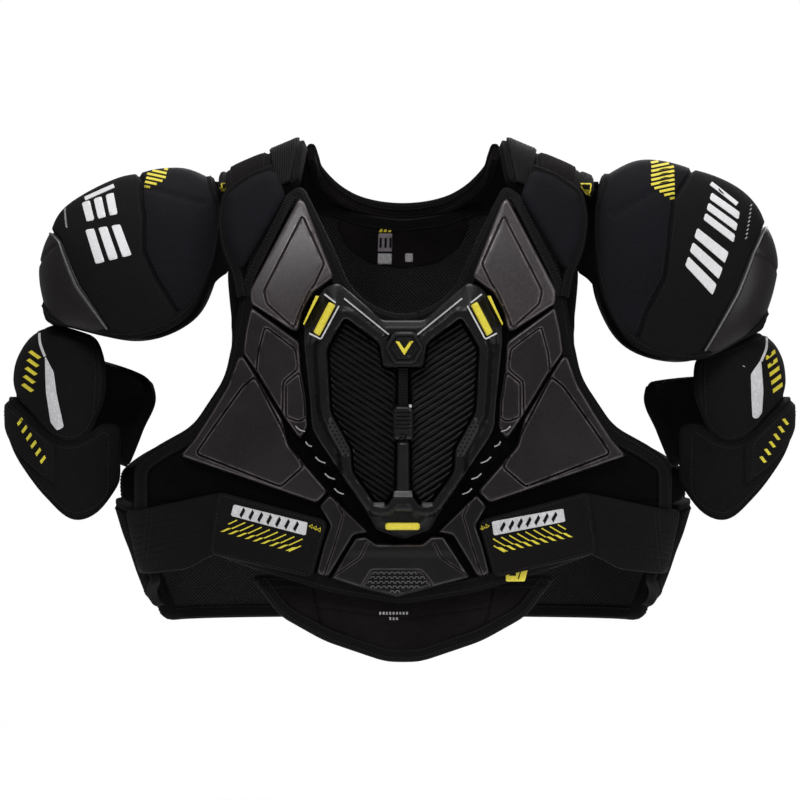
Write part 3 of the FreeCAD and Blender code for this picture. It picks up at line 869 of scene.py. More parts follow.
WAIST_PLATE = [(-70.5, -304), (-61.5, -293.5), (-45.5, -309), (-28, -326), (-41, -328),
               (-62.5, -363.5), (-73, -360.5), (-67, -337), (-61, -320)]
WAIST_LINES = [([(-57.5, -297), (-50, -312), (-58.5, -340), (-66, -361)], 0.8, 1.0)]
ABDOMEN = [(-40, -330), (-31, -329), (-22.5, -335), (16, -335), (23.5, -329), (34, -329),
           (56.5, -363.5), (32.5, -369.5), (-5, -380), (-36, -372), (-60.5, -364)]
ABDOMEN_PATCH = [(-26.5, -357.5), (15, -357.5), (25, -369.5), (-5, -379), (-35, -371.5)]
FRAME_HALF = [(-17.5, -148), (-54.5, -116), (-66, -120.5), (-83, -147), (-83.5, -168),
              (-78.5, -215), (-77, -237), (-72, -247.5), (-31.5, -307.5), (-23, -324),
              (0, -332)]
WINDOW_HALF = [(0, -188), (-17, -188), (-20, -168), (-48.5, -146), (-63.5, -172), (-63, -181),
               (-60.5, -225), (-43.5, -256), (-42.5, -274.5), (-22.5, -303), (-13, -303),
               (-9, -295), (0, -295)]
STERNUM_PAD = [(-16.5, -188), (-20, -168), (-48.5, -146), (-63.5, -172), (-63, -181),
               (-60.5, -225), (-43.5, -256), (-42.5, -274.5), (-22, -302.5), (-13, -302.5),
               (-8.5, -294), (-5.5, -294), (-5.5, -188)]
SLOT_TAB = [(-61.8, -132.9), (-56.3, -136.0), (-69.8, -161.8), (-75.0, -158.4)]
EDGE = ((0.0, 13.0), (0.5, 15.2), (1.4, 16.6), (2.6, 17.1))
CUSHION = ((0.0, 3.0), (0.8, 6.4), (2.2, 8.6), (5.0, 9.8), (9.0, 10.0))
BINDING_WIDTH = 11.0


def lined_panel(outline, place, step, quilting):
    """Cushioned panel whose inside faces take the second material."""
    shape = plate(outline, place, CUSHION, PANEL_INSIDE, 10.0, step, quilting)
    half = len(shape.points) // 2
    shape.face_material = [1 if min(face) >= half else 0 for face in shape.faces]
    return shape


def chest_panel():
    """Quilted cloth panel under the foam plates, with its bound edge."""
    outline = both_halves(BASE_HALF)
    quilting = [([(-222, -300), (-150, -304), (-80, -318)], 2.2, 1.2),
                ([(222, -300), (150, -304), (80, -318)], 2.2, 1.2)]
    piece("chest_panel", lined_panel(outline, chest, 4.0, quilting), [loop_cloth, lining_mesh],
          "front", "knit_panel", ["chest_base", "chest_liner"])
    loop = anticlockwise(rounded(outline, 12.0, 3.0))
    section = [(0.6, -3.6), (-1.2, -1.5), (-1.6, 3.0), (-1.0, 7.2), (0.8, 9.6), (4.0, 10.9),
               (BINDING_WIDTH, 11.3), (BINDING_WIDTH + 0.3, 9.8), (4.0, 8.6), (1.6, 5.0),
               (1.2, 0.0)]
    bind("chest_binding", laid(loop, chest, section, True), "front")
    rows = seam_rows(loop, chest, [(2.4, 10.5), (BINDING_WIDTH - 1.6, 11.5)])
    sew("chest_binding_stitches", rows, "front")


def chest_plates():
    """Moulded foam plates to the sides of the sternum frame."""
    faceted = (("clavicle_plate", CLAVICLE, [CLAVICLE_FACET], (0.9, 2.0, 1.3, 2.2), 2.4, lit_kite_foam),
               ("pec_plate", PEC, PEC_FACETS, (0.8, 1.8, 1.0, 1.5), 2.4, foam),
               ("rib_plate", RIB, [RIB_FACET], (1.0, 1.6, 1.2, 2.0), 2.6, foam))
    for name, outline, polygons, sizes, step, surface in faceted:
        relief, lines = facets(polygons, *sizes)
        shape = plate(outline, chest, EDGE, PLATE_BOTTOM, 3.0, step, lines, relief)
        pair(name, shape, surface, "front", "moulded_foam", [name])
    shape = plate(WAIST_PLATE, chest, EDGE, PLATE_BOTTOM, 2.0, 2.4, WAIST_LINES)
    pair("waist_plate", shape, shaded_low_foam, "front", "moulded_foam", ["waist_plate"])


def abdomen():
    """Foam plate below the sternum frame, with raised cells in its recess."""
    patch = rounded(ABDOMEN_PATCH, 1.5, 2.0)

    def relief(flat, away):
        """Recessed patch; a raised band runs under the frame's foot."""
        step = -1.6 * np.clip(distance(flat, patch) / 1.2, 0.0, 1.0)
        upper = 0.8 * crossing_weight(np.abs(flat[:, 1] + 340.0), 8.0)
        return np.where(inside(flat, patch), step, upper)
    lines = [(np.vstack([patch, patch[:1]]), 1.1, 0.6),
             ([(-58, -362), (-36, -347), (-30, -335)], 0.9, 0.9),
             ([(54, -362), (32, -347), (26, -335)], 0.9, 0.9)]
    shape = plate(ABDOMEN, chest, EDGE, PLATE_BOTTOM, 2.0, 1.5, lines, relief)
    piece("abdomen_plate", shape, shaded_low_foam, "front", "moulded_foam", ["abdomen_plate"])
    cells = []
    for row in range(5):
        for column in range(-9, 8):
            x, z = column * 4.6 + 2.3 * (row % 2), -359.6 - 3.9 * row
            ring = np.array([(x - 2.0, z - 1.0), (x - 1.0, z + 0.8), (x + 1.0, z + 0.8),
                             (x + 2.0, z - 1.0)])
            if inside(ring, patch).all() and distance(ring, patch).min() > 0.8:
                cells.append(laid(ring, chest, flat_band(0.9, 14.0, 17.4, -0.45, 0.3)))
    piece("abdomen_cells", joined(cells), light_plastic, "front", "moulded_foam")


def sternum_frame():
    """Plastic frame round the window with the ribbed pads."""
    outer = rounded(both_halves(FRAME_HALF), 4.0, 2.4)
    window = rounded(both_halves(WINDOW_HALF), 3.0, 2.4)
    ridge = ((0.0, 7.5), (0.7, 11.6), (2.0, 12.6), (7.0, 12.9), (8.4, 11.8), (10.6, 2.4),
             (12.0, 0.0))

    def relief(flat, away):
        """Ridge round the window; towards the neck a long chamfer instead of a channel."""
        from_window = distance(flat, window)
        from_outer = distance(flat, outer)
        rim = np.interp(from_window, [d for d, _ in ridge], [h for _, h in ridge])
        upper = np.clip((flat[:, 1] + 168.0) / 14.0, 0.0, 1.0)
        lower = np.clip((-296.0 - flat[:, 1]) / 8.0, 0.0, 1.0)
        chamfer = np.clip(1.0 + 0.72 * from_outer, 0.0, 12.7)
        foot = np.clip(1.0 + 1.1 * from_outer, 0.0, 10.0)
        return np.maximum(rim, np.maximum(upper * chamfer, lower * foot))
    profile = ((0.0, 11.4), (0.6, 13.2), (1.6, 13.8), (8.0, 13.8))
    lines = [([(s * -52, -121), (s * -44, -130), (s * -13, -158)], 0.8, 0.7) for s in (1, -1)]
    lines += [([(s * -64.5, -126), (s * -76, -147), (s * -78, -168)], 0.8, 0.8) for s in (1, -1)]
    shape = plate(both_halves(FRAME_HALF), chest, profile, PLATE_BOTTOM, 4.0, 2.0, lines,
                  relief, [both_halves(WINDOW_HALF)])
    piece("sternum_frame", shape, frame_plastic, "front", "frame_plastic", ["sternum_frame"])


def ribbed_pads():
    """Foam pads in the window, with slanting ribs."""
    slope, pitch = math.radians(-32.0), 4.6
    across = np.array([-math.sin(slope), math.cos(slope)])

    def relief(flat, away):
        phase = np.mod((flat @ across) / pitch, 1.0)
        rib = np.clip(1.6 * np.sin(math.pi * phase) - 0.35, 0.0, 1.0)
        return 2.0 * rib * np.clip(away / 2.5, 0.0, 1.0)
    profile = ((0.0, 13.0), (0.8, 14.4), (2.0, 15.0))
    shape = plate(STERNUM_PAD, chest, profile, PLATE_BOTTOM, 2.0, 1.25, (), relief)
    pair("sternum_pad", shape, rib_foam, "front", "ribbed_foam", ["sternum_pad"], sharp=60.0)


def frame_trim():
    """Yellow tabs, thin bars, slit highlights and dimple shade (both painted), the foot's blocks."""
    tab = plate(SLOT_TAB, chest, ((0.0, 26.6), (0.5, 28.2), (1.2, 28.8)), 22.0, 0.8, 1.5)
    foot = plate([(-15, -323.4), (14, -323.4), (14, -317.4), (-15, -317.4)], chest,
                 ((0.0, 26.4), (0.7, 28.2), (1.6, 28.9)), 20.0, 2.6, 1.5)
    bar = chip([(-72.9, -128.0), (-70.2, -128.2), (-82.6, -152.4), (-83.4, -151.5)], chest, 27.2,
               14.0)
    piece("yellow_tabs", joined([tab, tab.mirrored(), foot, bar, bar.mirrored()]), yellow,
          "front", "yellow_trim", ["slot_tabs"])
    rims, slit_glints, hole_shade_dots = [], [], []
    for path, high in (([(-65.7, -126.7), (-56.3, -134.0)], 27.6),
                       ([(-53.5, -136.5), (-68.5, -164.3), (-78.2, -159.4)], 27.6),
                       ([(-49.3, -130.2), (-12.0, -160.5)], 21.2)):
        rims.append(laid(rounded(path, 0, 2.0, closed=False), chest,
                         flat_band(1.3, 14.0, high, -0.65, 0.2)))
    # Five pale strokes a side: painted highlights glinting on the frame's moulded slit openings.
    for start, end in (((-89.8, -236.8), (-82.1, -241.3)), ((-81.5, -249.7), (-76.3, -253.9)),
                       ((-73.4, -262.5), (-65, -267.7)), ((-65.4, -276.4), (-57, -281.2)),
                       ((-57.4, -288.9), (-49.6, -293.7))):
        middle = (np.array(start) + np.array(end)) / 2.0 - (0.9, 0.9)
        path = rounded([start, tuple(middle), end], 3.0, 1.2, closed=False)
        slit_glints.append(laid(path, chest, flat_band(1.0, 13.0, 19.6, -0.5, 0.2)))
    patch = [(-60.9, -228.5), (-64.0, -234), (-62.5, -241), (-50.5, -262.5), (-44.4, -262.5),
             (-44.4, -256), (-56.5, -234.5)]
    turn = np.arange(8) * math.pi / 4
    circle = np.stack([np.cos(turn), np.sin(turn)], -1)
    # Dark discs on the patch: painted shade standing in for the shadowed insides of the dimple holes.
    for row in range(11):
        for column in range(-4, 8):
            spot = np.array([[-60.5 + 3.6 * column + 1.8 * (row % 2), -231.0 - 3.3 * row]])
            if inside(spot, patch)[0] and distance(spot, patch)[0] > 1.2:
                hole_shade_dots.append(chip(spot + 0.85 * circle, chest, 27.5, 26.0))
    pair("frame_highlights", joined(rims), silver_print, "front", "frame_plastic")
    pair("frame_slit_glints", joined(slit_glints), pale_print, "front", "frame_plastic")
    pair("dimple_patch", plate(patch, chest, ((0.0, 26.2), (0.5, 27.1)), 22.0, 1.5, 1.8),
         patch_plastic, "front", "frame_plastic")
    # The dark discs are painted hole shade, in the ribbed pads' dark material.
    pair("dimple_shade_discs", joined(hole_shade_dots), rib_foam, "front", "ribbed_foam")
    bump = plate([(-27, -305), (-15, -306), (-15.5, -300.5), (-26, -300.5)], chest,
                 ((0.0, 23.0), (0.8, 25.6), (1.6, 26.4)), 18.0, 1.0, 1.5)
    pair("foot_bumps", bump, light_plastic, "front", "frame_plastic")


def crest():
    """Six-sided badge at the frame's top, with a plain V mark."""
    rings = ((0.0, 27.6), (0.6, 30.6), (1.4, 31.8), (3.0, 32.2), (3.6, 31.0), (4.6, 31.0),
             (5.2, 32.2), (6.4, 32.4), (7.0, 31.2), (8.0, 31.0))
    turn = np.radians(np.arange(0, 360, 60))
    hexagon = np.stack([17.0 * np.cos(turn) + 1.0, 16.0 * np.sin(turn) - 172.0], -1)
    shape = plate(hexagon, chest, rings, 20.0, 1.5, 1.6)
    piece("crest_badge", shape, frame_plastic, "front", "crest_plastic", ["crest_badge"])
    on_crest = on_skin(shape)
    mark = [(-6.5, -166.0), (-3.5, -166.0), (1.0, -172.5), (5.5, -166.0), (8.5, -166.0),
            (1.0, -178.0)]
    piece("crest_mark", decal(mark, on_crest, 0.9, 0.4, 1.2), yellow, "front", "yellow_trim")


def sternum_adjuster():
    """Strap from the crest to the frame's foot, its sleeve, and the clip that slides."""
    strap = laid(rounded([(0, -188.5), (0, -294.5)], 0, 3.0, closed=False), chest,
                 flat_band(8.0, 21.4, 23.4, -4.0, 0.5))
    piece("centre_strap", strap, web_cloth, "front", "elastic_web", ["centre_strap"])
    sleeve = plate([(-5.6, -294), (5.6, -294), (5.0, -249.6), (-5.0, -249.6)], chest,
                   ((0.0, 22.0), (0.6, 24.6), (1.6, 25.8), (3.0, 26.2)), 18.5, 1.0, 1.6)
    block = plate([(-8.6, -296.5), (8.4, -296.5), (7.2, -290.5), (-7.4, -290.5)], chest,
                  ((0.0, 24.5), (0.6, 26.4), (1.4, 26.9)), 18.5, 0.8, 1.6)
    foot = plate([(-15, -309), (14, -309), (8.6, -296.8), (-9.0, -296.8)], chest,
                 ((0.0, 21.5), (0.8, 24.6), (2.0, 25.6), (4.0, 26.0)), 18.5, 1.5, 1.6)
    piece("centre_sleeve", joined([sleeve, foot]), slider_plastic, "front", "frame_plastic",
          ["centre_sleeve"])
    piece("centre_block", block, light_plastic, "front", "frame_plastic")
    grips = []
    for k in range(5):
        z = -225.5 - 3.3 * k
        grips.append(([(-5.6, z), (5.6, z)], 0.9, 1.3))
    grips.append(([(-2.6, -243.5), (2.6, -243.5), (2.6, -246.5), (-2.6, -246.5)], 0.8, 1.2))
    body = plate([(-8.4, -248.6), (8.4, -248.6), (8.6, -224), (6.0, -219.5), (-6.0, -219.5),
                  (-8.6, -224)], chest, ((0.0, 22.0), (0.6, 24.8), (1.6, 26.0), (2.8, 26.5)),
                 18.8, 1.4, 1.1, grips)
    piece("sternum_slider", body, slider_plastic, "slider", "frame_plastic", ["sternum_slider"])
    stud = plate([(4.6, -221.6), (7.4, -221.6), (7.4, -218.6), (4.6, -218.6)], chest,
                 ((0.0, 24.0), (0.5, 27.0), (1.0, 27.4)), 20.0, 1.0, 0.8)
    piece("slider_stud", stud, silver_print, "slider", "frame_plastic")


def collarbone_parts():
    """Webbing beside each upper plate, and the soft flap outside it."""
    path = rounded([(-93.5, -43), (-96.5, -47), (-128.5, -112), (-132.8, -127)], 6.0, 2.5,
                   closed=False)
    band = laid(path, chest, flat_band(8.6, 9.6, 12.6, -4.3, 0.7))
    pair("webbing_band", band, web_cloth, "front", "elastic_web")
    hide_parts("webbing_bands")
    rows = seam_rows(path, chest, [(-2.9, 12.7), (2.9, 12.7)], False)
    sew_pair("webbing_stitches", rows, "front")
    flap = [(-99, -44), (-106, -24), (-112, -19.5), (-128, -25), (-149, -40), (-152, -62),
            (-148, -86), (-138.5, -106), (-134, -104)]
    profile = ((0.0, 12.0), (0.8, 14.6), (2.4, 16.4), (5.0, 17.6), (9.0, 18.4))
    shape = puffed(plate(flap, chest, profile, 8.0, 6.0, 2.4), 3.0, 1.8)
    pair("collarbone_flap", shape, neoprene, "front", "neoprene", ["collarbone_flap"],
         padded=0.7)
    edge = rounded([(-110, -18), (-128, -24), (-150, -39), (-154, -62), (-150, -88),
                    (-141, -108), (-137, -128)], 8.0, 2.5, closed=False)
    bind_pair("flap_binding", laid(edge, chest, flat_band(9.0, 8.0, 14.5, -3.0, 2.0)), "front")
    sew_pair("flap_stitches", seam_rows(edge, chest, [(-1.2, 14.7), (4.2, 14.7)], False), "front")


def belly_pad():
    """Extension pad that hangs under the front panel."""
    half = [(-128.5, -364), (-118.5, -374.5), (-103.5, -395.5), (-65.5, -416.5), (-15, -433.5),
            (0, -434)]
    outline = both_halves(half)
    profile = ((0.0, -10.6), (0.8, -7.6), (2.4, -5.4), (6.0, -4.0), (12.0, -3.4))
    seams = [([(s * -75, -374), (s * -70, -402)], 2.0, 1.8) for s in (1, -1)]
    seams.append(([(-74, -389), (0, -399), (74, -389)], 2.0, 1.0))
    shape = plate(outline, chest, profile, -13.2, 8.0, 3.0, seams)
    shape = puffed(shape, 4.0, 2.6)
    piece("extension_pad", shape, fuzzy_cloth, "belly", "belly_foam", ["extension_pad"],
          padded=0.6)
    loop = anticlockwise(rounded(outline, 10.0, 3.0))
    section = [(0.5, -14.2), (-1.2, -13.0), (-1.7, -9.8), (-1.0, -6.4), (1.0, -4.4), (4.0, -3.2),
               (9.5, -2.7), (9.8, -4.2), (4.0, -5.4), (1.6, -8.0), (1.2, -11.5)]
    bind("extension_binding", laid(loop, chest, section, True), "belly")
    sew("extension_stitches", seam_rows(loop, chest, [(2.2, -3.6), (8.2, -2.5)]), "belly")
    on_pad = on_skin(shape)
    marks = [stroke((x + 2.8 * k, z), (x + 1.6 + 2.8 * k, z), 2.2, on_pad)
             for x, z, count in ((-20.0, -394.0, 9), (-11.6, -398.6, 3)) for k in range(count)]
    piece("extension_mark", joined(marks), pale_print, "belly", "label_cloth")


# ---------------------------------------------------------------- shoulder caps
# Foam thickness, how far it takes to rise from a seam, the seam's depth and half its width.
CAP_FOAM, CAP_RISE, SEAM_DEPTH, SEAM_HALF = 6.0, 22.0, 2.6, 3.2
# Lining under the cap's skin, from and to.
CAP_LINING = (4.5, 15.0)
# Crest line over the shoulder (y = 0) and front rim, from the neck side to the arm side.
CAP_CREST = {
    "right": [(-166, -24), (-196, -17), (-243, -25), (-291, -52), (-310, -95), (-308, -133)],
    "left": [(174, -22), (208, -10), (255, -19), (298, -43), (320, -92), (312, -140)],
}
CAP_RIM = {
    "right": [(-158, -48), (-158, -80), (-164, -110), (-183, -146), (-230, -163), (-299, -147)],
    "left": [(166, -52), (164, -88), (170, -132), (195, -171), (247, -181), (300, -155)],
}
CAP_HALF_DEPTH = [(0.0, 34.0), (0.35, 70.0), (0.65, 76.0), (1.0, 48.0)]
CAP_SEAM = {
    "right": [(-222, -28), (-219.5, -60), (-218.5, -91), (-208, -113), (-193, -136)],
    "left": [(229, -44), (226, -70), (220, -112), (206, -141), (198, -160)],
}
CAP_FOAM_EDGE = {
    "right": [(-304, -70), (-292, -79), (-275, -118), (-248, -156)],
    "left": [(306, -72), (298, -88), (282, -124), (255, -172)],
}
CAP_DIVISION = {"right": [(-291.5, -79), (-303, -89), (-311, -99)],
                "left": [(298, -87), (310, -95), (320, -105)]}
CAP_YOKE_SEAM = {"right": [(-170, -48), (-222, -34)], "left": [(177, -59), (213, -38)]}
CAP_BLOCKS = {
    "right": [[(-270, -70.5), (-240, -66), (-229.5, -92.5), (-260, -100)],
              [(-274.5, -46.5), (-247, -38), (-242.5, -57), (-269, -63.5)]],
    "left": [[(249.5, -69), (238.5, -101.5), (261.5, -126.5), (276, -90)],
             [(263, -38), (255, -62), (280.5, -81.5), (287, -55)]],
}
CAP_BAR = {"right": ((-272, -43), (-247, -32)), "left": ((263, -30), (285, -48))}
CAP_DASHES = {"right": ((286.0, -68.0), (0.4, 2.16)), "left": ((291.0, -78.0), (0.75, 3.6))}
CAP_HATCH = {"right": [(-219, -19), (-201, -16), (-203, -27), (-211, -32), (-221, -36)],
             "left": [(212.5, -9), (232, -13), (231, -46), (225, -43), (211, -33)]}


def curve(points, count):
    """Evenly spaced points along a smooth curve through the given points."""
    points = np.asarray(points, float)
    ends = np.vstack([2 * points[0] - points[1], points, 2 * points[-1] - points[-2]])
    path = []
    for k in range(len(points) - 1):
        a, b, c, d = ends[k:k + 4]
        for t in np.linspace(0.0, 1.0, 24, endpoint=False):
            path.append(0.5 * (2 * b + (c - a) * t + (2 * a - 5 * b + 4 * c - d) * t ** 2
                               + (3 * b - a - 3 * c + d) * t ** 3))
    path.append(points[-1])
    path = np.array(path)
    return resample(path, arc_lengths(path)[-1] / count, False)


def between(stations, where):
    """Values on a smooth curve through (position, value) stations."""
    spots = np.array([s for s, _ in stations], float)
    values = np.array([v for _, v in stations], float)
    slopes = np.gradient(values, spots)
    where = np.clip(where, spots[0], spots[-1])
    k = np.clip(np.searchsorted(spots, where, side="right") - 1, 0, len(spots) - 2)
    step = spots[k + 1] - spots[k]
    t = (where - spots[k]) / step
    return (values[k] * (1 + 2 * t) * (1 - t) ** 2 + values[k + 1] * t * t * (3 - 2 * t)
            + step * slopes[k] * t * (1 - t) ** 2 - step * slopes[k + 1] * t * t * (1 - t))


def ripple(points, size, seed):
    """Slow unevenness, about -1 to 1, from a few crossed waves."""
    dice = np.random.default_rng(seed)
    total = np.zeros(points.shape[:-1])
    for _ in range(6):
        way = unit(dice.normal(size=3)) * 2.0 * math.pi / (size * dice.uniform(0.7, 1.6))
        total += np.sin(points @ way + dice.uniform(0.0, 6.28))
    return total / 3.0


class Cap:
    """Arched skin of one shoulder cap: s runs outward along it, turn from front to back."""

    def __init__(self, side):
        self.crest = curve(CAP_CREST[side], 300)
        self.rim = curve(CAP_RIM[side], 300)
        self.centre = np.array([self.crest[:, 0].mean(), 0.0, self.crest[:, 1].mean() - 60.0])
        s, turn = np.meshgrid(np.linspace(0, 1, 160), np.linspace(-90, 0, 90), indexing="ij")
        self.samples = (s.ravel(), turn.ravel(), self.point(s, turn).reshape(-1, 3))
        self.seams = [[(0.0, 0.0)], self.trace(CAP_SEAM[side]), self.trace(CAP_FOAM_EDGE[side]),
                      [(0.0, 1.0)]]

    def point(self, s, turn):
        """Points of the skin."""
        spots = np.linspace(0.0, 1.0, len(self.crest))
        ends = np.linspace(0.0, 1.0, len(self.rim))
        high = np.stack([np.interp(s, spots, self.crest[:, k]) for k in (0, 1)], -1)
        low = np.stack([np.interp(s, ends, self.rim[:, k]) for k in (0, 1)], -1)
        angle = np.radians(turn)
        flat = high + (low - high) * (1.0 - np.cos(angle))[..., None]
        deep = between(CAP_HALF_DEPTH, s) * np.sin(angle)
        return np.stack([flat[..., 0], deep, flat[..., 1]], -1)

    def normal(self, s, turn):
        """Outward directions of the skin."""
        ds, dt = 0.004, 0.8
        along = self.point(np.minimum(s + ds, 1), turn) - self.point(np.maximum(s - ds, 0), turn)
        round_ = self.point(s, turn + dt) - self.point(s, turn - dt)
        return facing(unit(np.cross(along, round_)), self.point(s, turn) - self.centre)

    def trace(self, path):
        """(turn, s) pairs of a line given in front view."""
        s, turn, points = self.samples
        found = []
        for x, z in path:
            k = np.argmin((points[:, 0] - x) ** 2 + (points[:, 2] - z) ** 2)
            found.append((abs(turn[k]), s[k]))
        return sorted(found)

    def seam(self, k, turn):
        """Where seam k lies along the skin, at each turn."""
        line = self.seams[k]
        return np.interp(np.abs(turn), [t for t, _ in line], [s for _, s in line])

    def panel(self, k, columns, crown, creases=(), seed=1, uneven=0.0, rows=110):
        """Padded panel between seams k and k + 1, rounded down into them."""
        turn = np.linspace(-89.0, 89.0, rows)
        low, high = self.seam(k, turn)[:, None], self.seam(k + 1, turn)[:, None]
        s = low + (high - low) * eased(columns)
        turn = np.broadcast_to(turn[:, None], s.shape)
        base, out = self.point(s, turn), self.normal(s, turn)
        steps = np.linalg.norm(np.diff(base, axis=1), axis=2)
        left = np.hstack([np.zeros((rows, 1)), np.cumsum(steps, axis=1)])
        near = np.minimum(left, left[:, -1:] - left)
        height = crown * (1.0 - np.clip(1.0 - near / CAP_RISE, 0.0, 1.0) ** 2.5)
        height -= SEAM_DEPTH * crossing_weight(near, SEAM_HALF)
        height += uneven * ripple(base, 48.0, seed) * np.clip(near / 15.0, 0.0, 1.0)
        flat = base[..., [0, 2]].reshape(-1, 2)
        for path, wide, deep in creases:
            weight = crossing_weight(distance(flat, np.array(path, float), False), wide)
            height -= deep * weight.reshape(height.shape)
        shape = skin_solid(base + out * height[..., None], base - out * CAP_FOAM)
        shape.edge = np.concatenate([near.ravel(), near.ravel() * 0])
        return shape

    def seam_path(self, k, offset, height, limit=88.0, step=2.0):
        """Points and directions along a seam, 'offset' millimetres to its outer side."""
        turn = np.arange(-limit, limit + 0.01, step)
        s = self.seam(k, turn)
        base, out = self.point(s, turn), self.normal(s, turn)
        outer = unit(self.point(np.minimum(s + 0.02, 1.0), turn) - base)
        return base + outer * offset + out * height, out

    def edge_loop(self, limit=88.0):
        """Closed rim path and its outward directions."""
        t = np.linspace(0.0, 1.0, 60)
        end = np.linspace(-limit, limit, 36)[1:-1]
        s = np.concatenate([t, np.ones(len(end)), t[::-1], np.zeros(len(end))])
        turn = np.concatenate([np.full(len(t), -limit), end, np.full(len(t), limit), end[::-1]])
        points, out = self.point(s, turn), self.normal(s, turn)
        for _ in range(3):
            points = (np.roll(points, 1, 0) + 2.0 * points + np.roll(points, -1, 0)) / 4.0
            out = unit(np.roll(out, 1, 0) + 2.0 * out + np.roll(out, -1, 0))
        return points, out


def shoulder_cap(side):
    """Three padded panels over a lined cup, with seams, binding and marks."""
    cap = Cap(side)
    body = side + "_cap"
    inner = cap.panel(0, 34, 1.6, [(CAP_YOKE_SEAM[side], 2.2, 2.0)], 3, 0.55)
    middle = cap.panel(1, 60, 1.4, (), 4, 0.35)
    outer = cap.panel(2, 40, 1.8, [(CAP_DIVISION[side], 1.8, 1.8)], 5, 0.15)
    piece(side + "_cap_inner_panel", inner, neoprene, body, "neoprene",
          [side + "_cap_cover"], padded=0.8)
    piece(side + "_cap_knit_panel", middle, black_knit, body, "neoprene", padded=0.8)
    piece(side + "_cap_foam_panel", outer, cap_foam, body, "moulded_foam", padded=0.9)
    s, turn = np.meshgrid(np.linspace(0.005, 0.995, 60), np.linspace(-88, 88, 60), indexing="ij")
    base, out = cap.point(s, turn), cap.normal(s, turn)
    core = skin_solid(base - out * CAP_LINING[0], base - out * CAP_LINING[1],
                      materials=(0, 1))
    piece(side + "_cap_lining", core, [black_knit, sleeve_mesh], body, "mesh_lining",
          [side + "_cap_shell", side + "_cap_liner"])
    points, out = cap.edge_loop()
    section = [(-4.2, -14.5), (-2.6, -16.2), (2.6, -16.2), (4.2, -14.5), (4.4, -1.5),
               (3.0, 0.8), (0.0, 1.8), (-3.0, 0.8), (-4.4, -1.5)]
    bind(side + "_cap_binding", tube(points, out, section, True), body)
    rows = [stitch_row(points + out * 1.9, out, closed=True)]
    for offset in (3.4, -3.4):
        rows.append(stitch_row(*cap.seam_path(1, offset, 0.25, 84.0), 3.4, 2.2, 0.26))
    sew(side + "_cap_stitches", rows, body)
    # Light grey ridge along the foam panel's edge: partly a real low ridge, partly a painted highlight
    # where its bevel catches the light.
    ridge = [(-0.8, -2.0), (-0.8, 0.0), (0.0, 0.8), (0.8, 0.0), (0.8, -2.0)]
    piece(side + "_cap_foam_highlight_ridge", tube(*cap.seam_path(2, 1.8, 0.5, 86.0), ridge),
          light_plastic, body, "cap_plastic")
    cap_marks(side, on_skin(joined([inner, middle, outer])), body)


def cap_marks(side, on_cap, body):
    """Silver blocks, yellow hatching and small dashes; all plain shapes."""
    sign = SIDES[side]
    silver = []
    for corners in CAP_BLOCKS[side]:
        a, b, c, d = (np.array(p, float) for p in corners)
        for low, high in ((0.0, 0.25), (0.375, 0.625), (0.75, 1.0)):
            bar = [a + (b - a) * low, a + (b - a) * high, d + (c - d) * high, d + (c - d) * low]
            silver.append(decal(bar, on_cap, 0.5, 1.0, 2.0))
    start, end = CAP_BAR[side]
    silver.append(stroke(start, end, 3.6, on_cap, 0.5))
    piece(side + "_cap_blocks", joined(silver), white_print, body, "label_cloth")
    region = rounded(CAP_HATCH[side], 0.5, 1.0)
    low, high = region.min(0), region.max(0)
    lines = []
    for k in range(12):
        z = low[1] - 3.0 + 3.9 * k
        left = np.array([low[0] - 1.0, z + sign * -2.6])
        right = np.array([high[0] + 1.0, z + sign * 2.6])
        t = np.linspace(0.0, 1.0, 60)[:, None]
        spots = left + (right - left) * t
        spots = spots[inside(spots, region)]
        if len(spots) > 8:
            lines.append(stroke(spots[0], spots[-1], 2.0, on_cap, 0.4))
    piece(side + "_cap_hatching", joined(lines), yellow_print, body, "yellow_trim")
    start, step = CAP_DASHES[side]
    dashes = slanted_bars(sign, on_cap, start, step, [(0.0, 0.0), (1.6, 1.6)], 9, width=1.0,
                          height=0.3)
    piece(side + "_cap_dashes", dashes, pale_print, body, "label_cloth")


# ---------------------------------------------------------------- sleeves on the upper arms
ARM_X = {"right": -283.0, "left": 277.5}
GUARD_RX = [(-255, 46), (-215, 48), (-196, 50), (-178, 46), (-165, 38), (-150, 22)]
GUARD_RY = [(-255, 54), (-230, 56), (-196, 55), (-178, 50), (-165, 44), (-150, 34)]
PAD_CENTRE = [(-275, 1.5), (-242, 8.5), (-212, 15.5), (-196, 13), (-165, 4.5)]
PAD_RX = [(-275, 44.5), (-242, 51), (-212, 55), (-196, 52.5), (-165, 31)]
GUARD_TOP = {"right": [(150, -161.5), (180, -155.5), (225, -152.5), (265, -155.5), (305, -161.5)],
             "left": [(150, -165.5), (180, -159.5), (225, -160.5), (265, -168.5), (305, -179.5)]}
GUARD_LOW = [(150, -214), (180, -213), (225, -226), (262, -250), (285, -246), (305, -214)]
WRAP_TOP = [(120, -205), (150, -215.5), (180, -214.5), (225, -227.5), (262, -252), (285, -248),
            (300, -238), (317, -238)]
WRAP_LOW = [(120, -238), (180, -240), (205, -256), (225, -272), (250, -296), (275, -315),
            (290, -311), (317, -284)]
PAD_TOP = {"right": [(0, -200), (60, -186), (110, -177), (180, -175), (240, -183), (264, -188)],
           "left": [(0, -202), (60, -198), (110, -194), (180, -172), (240, -184), (264, -191)]}
PAD_LOW = [(0, -272), (60, -264), (120, -246), (180, -244), (264, -259)]
STRAP_LOW = [(174, -232), (205, -250), (225, -264), (258, -288)]
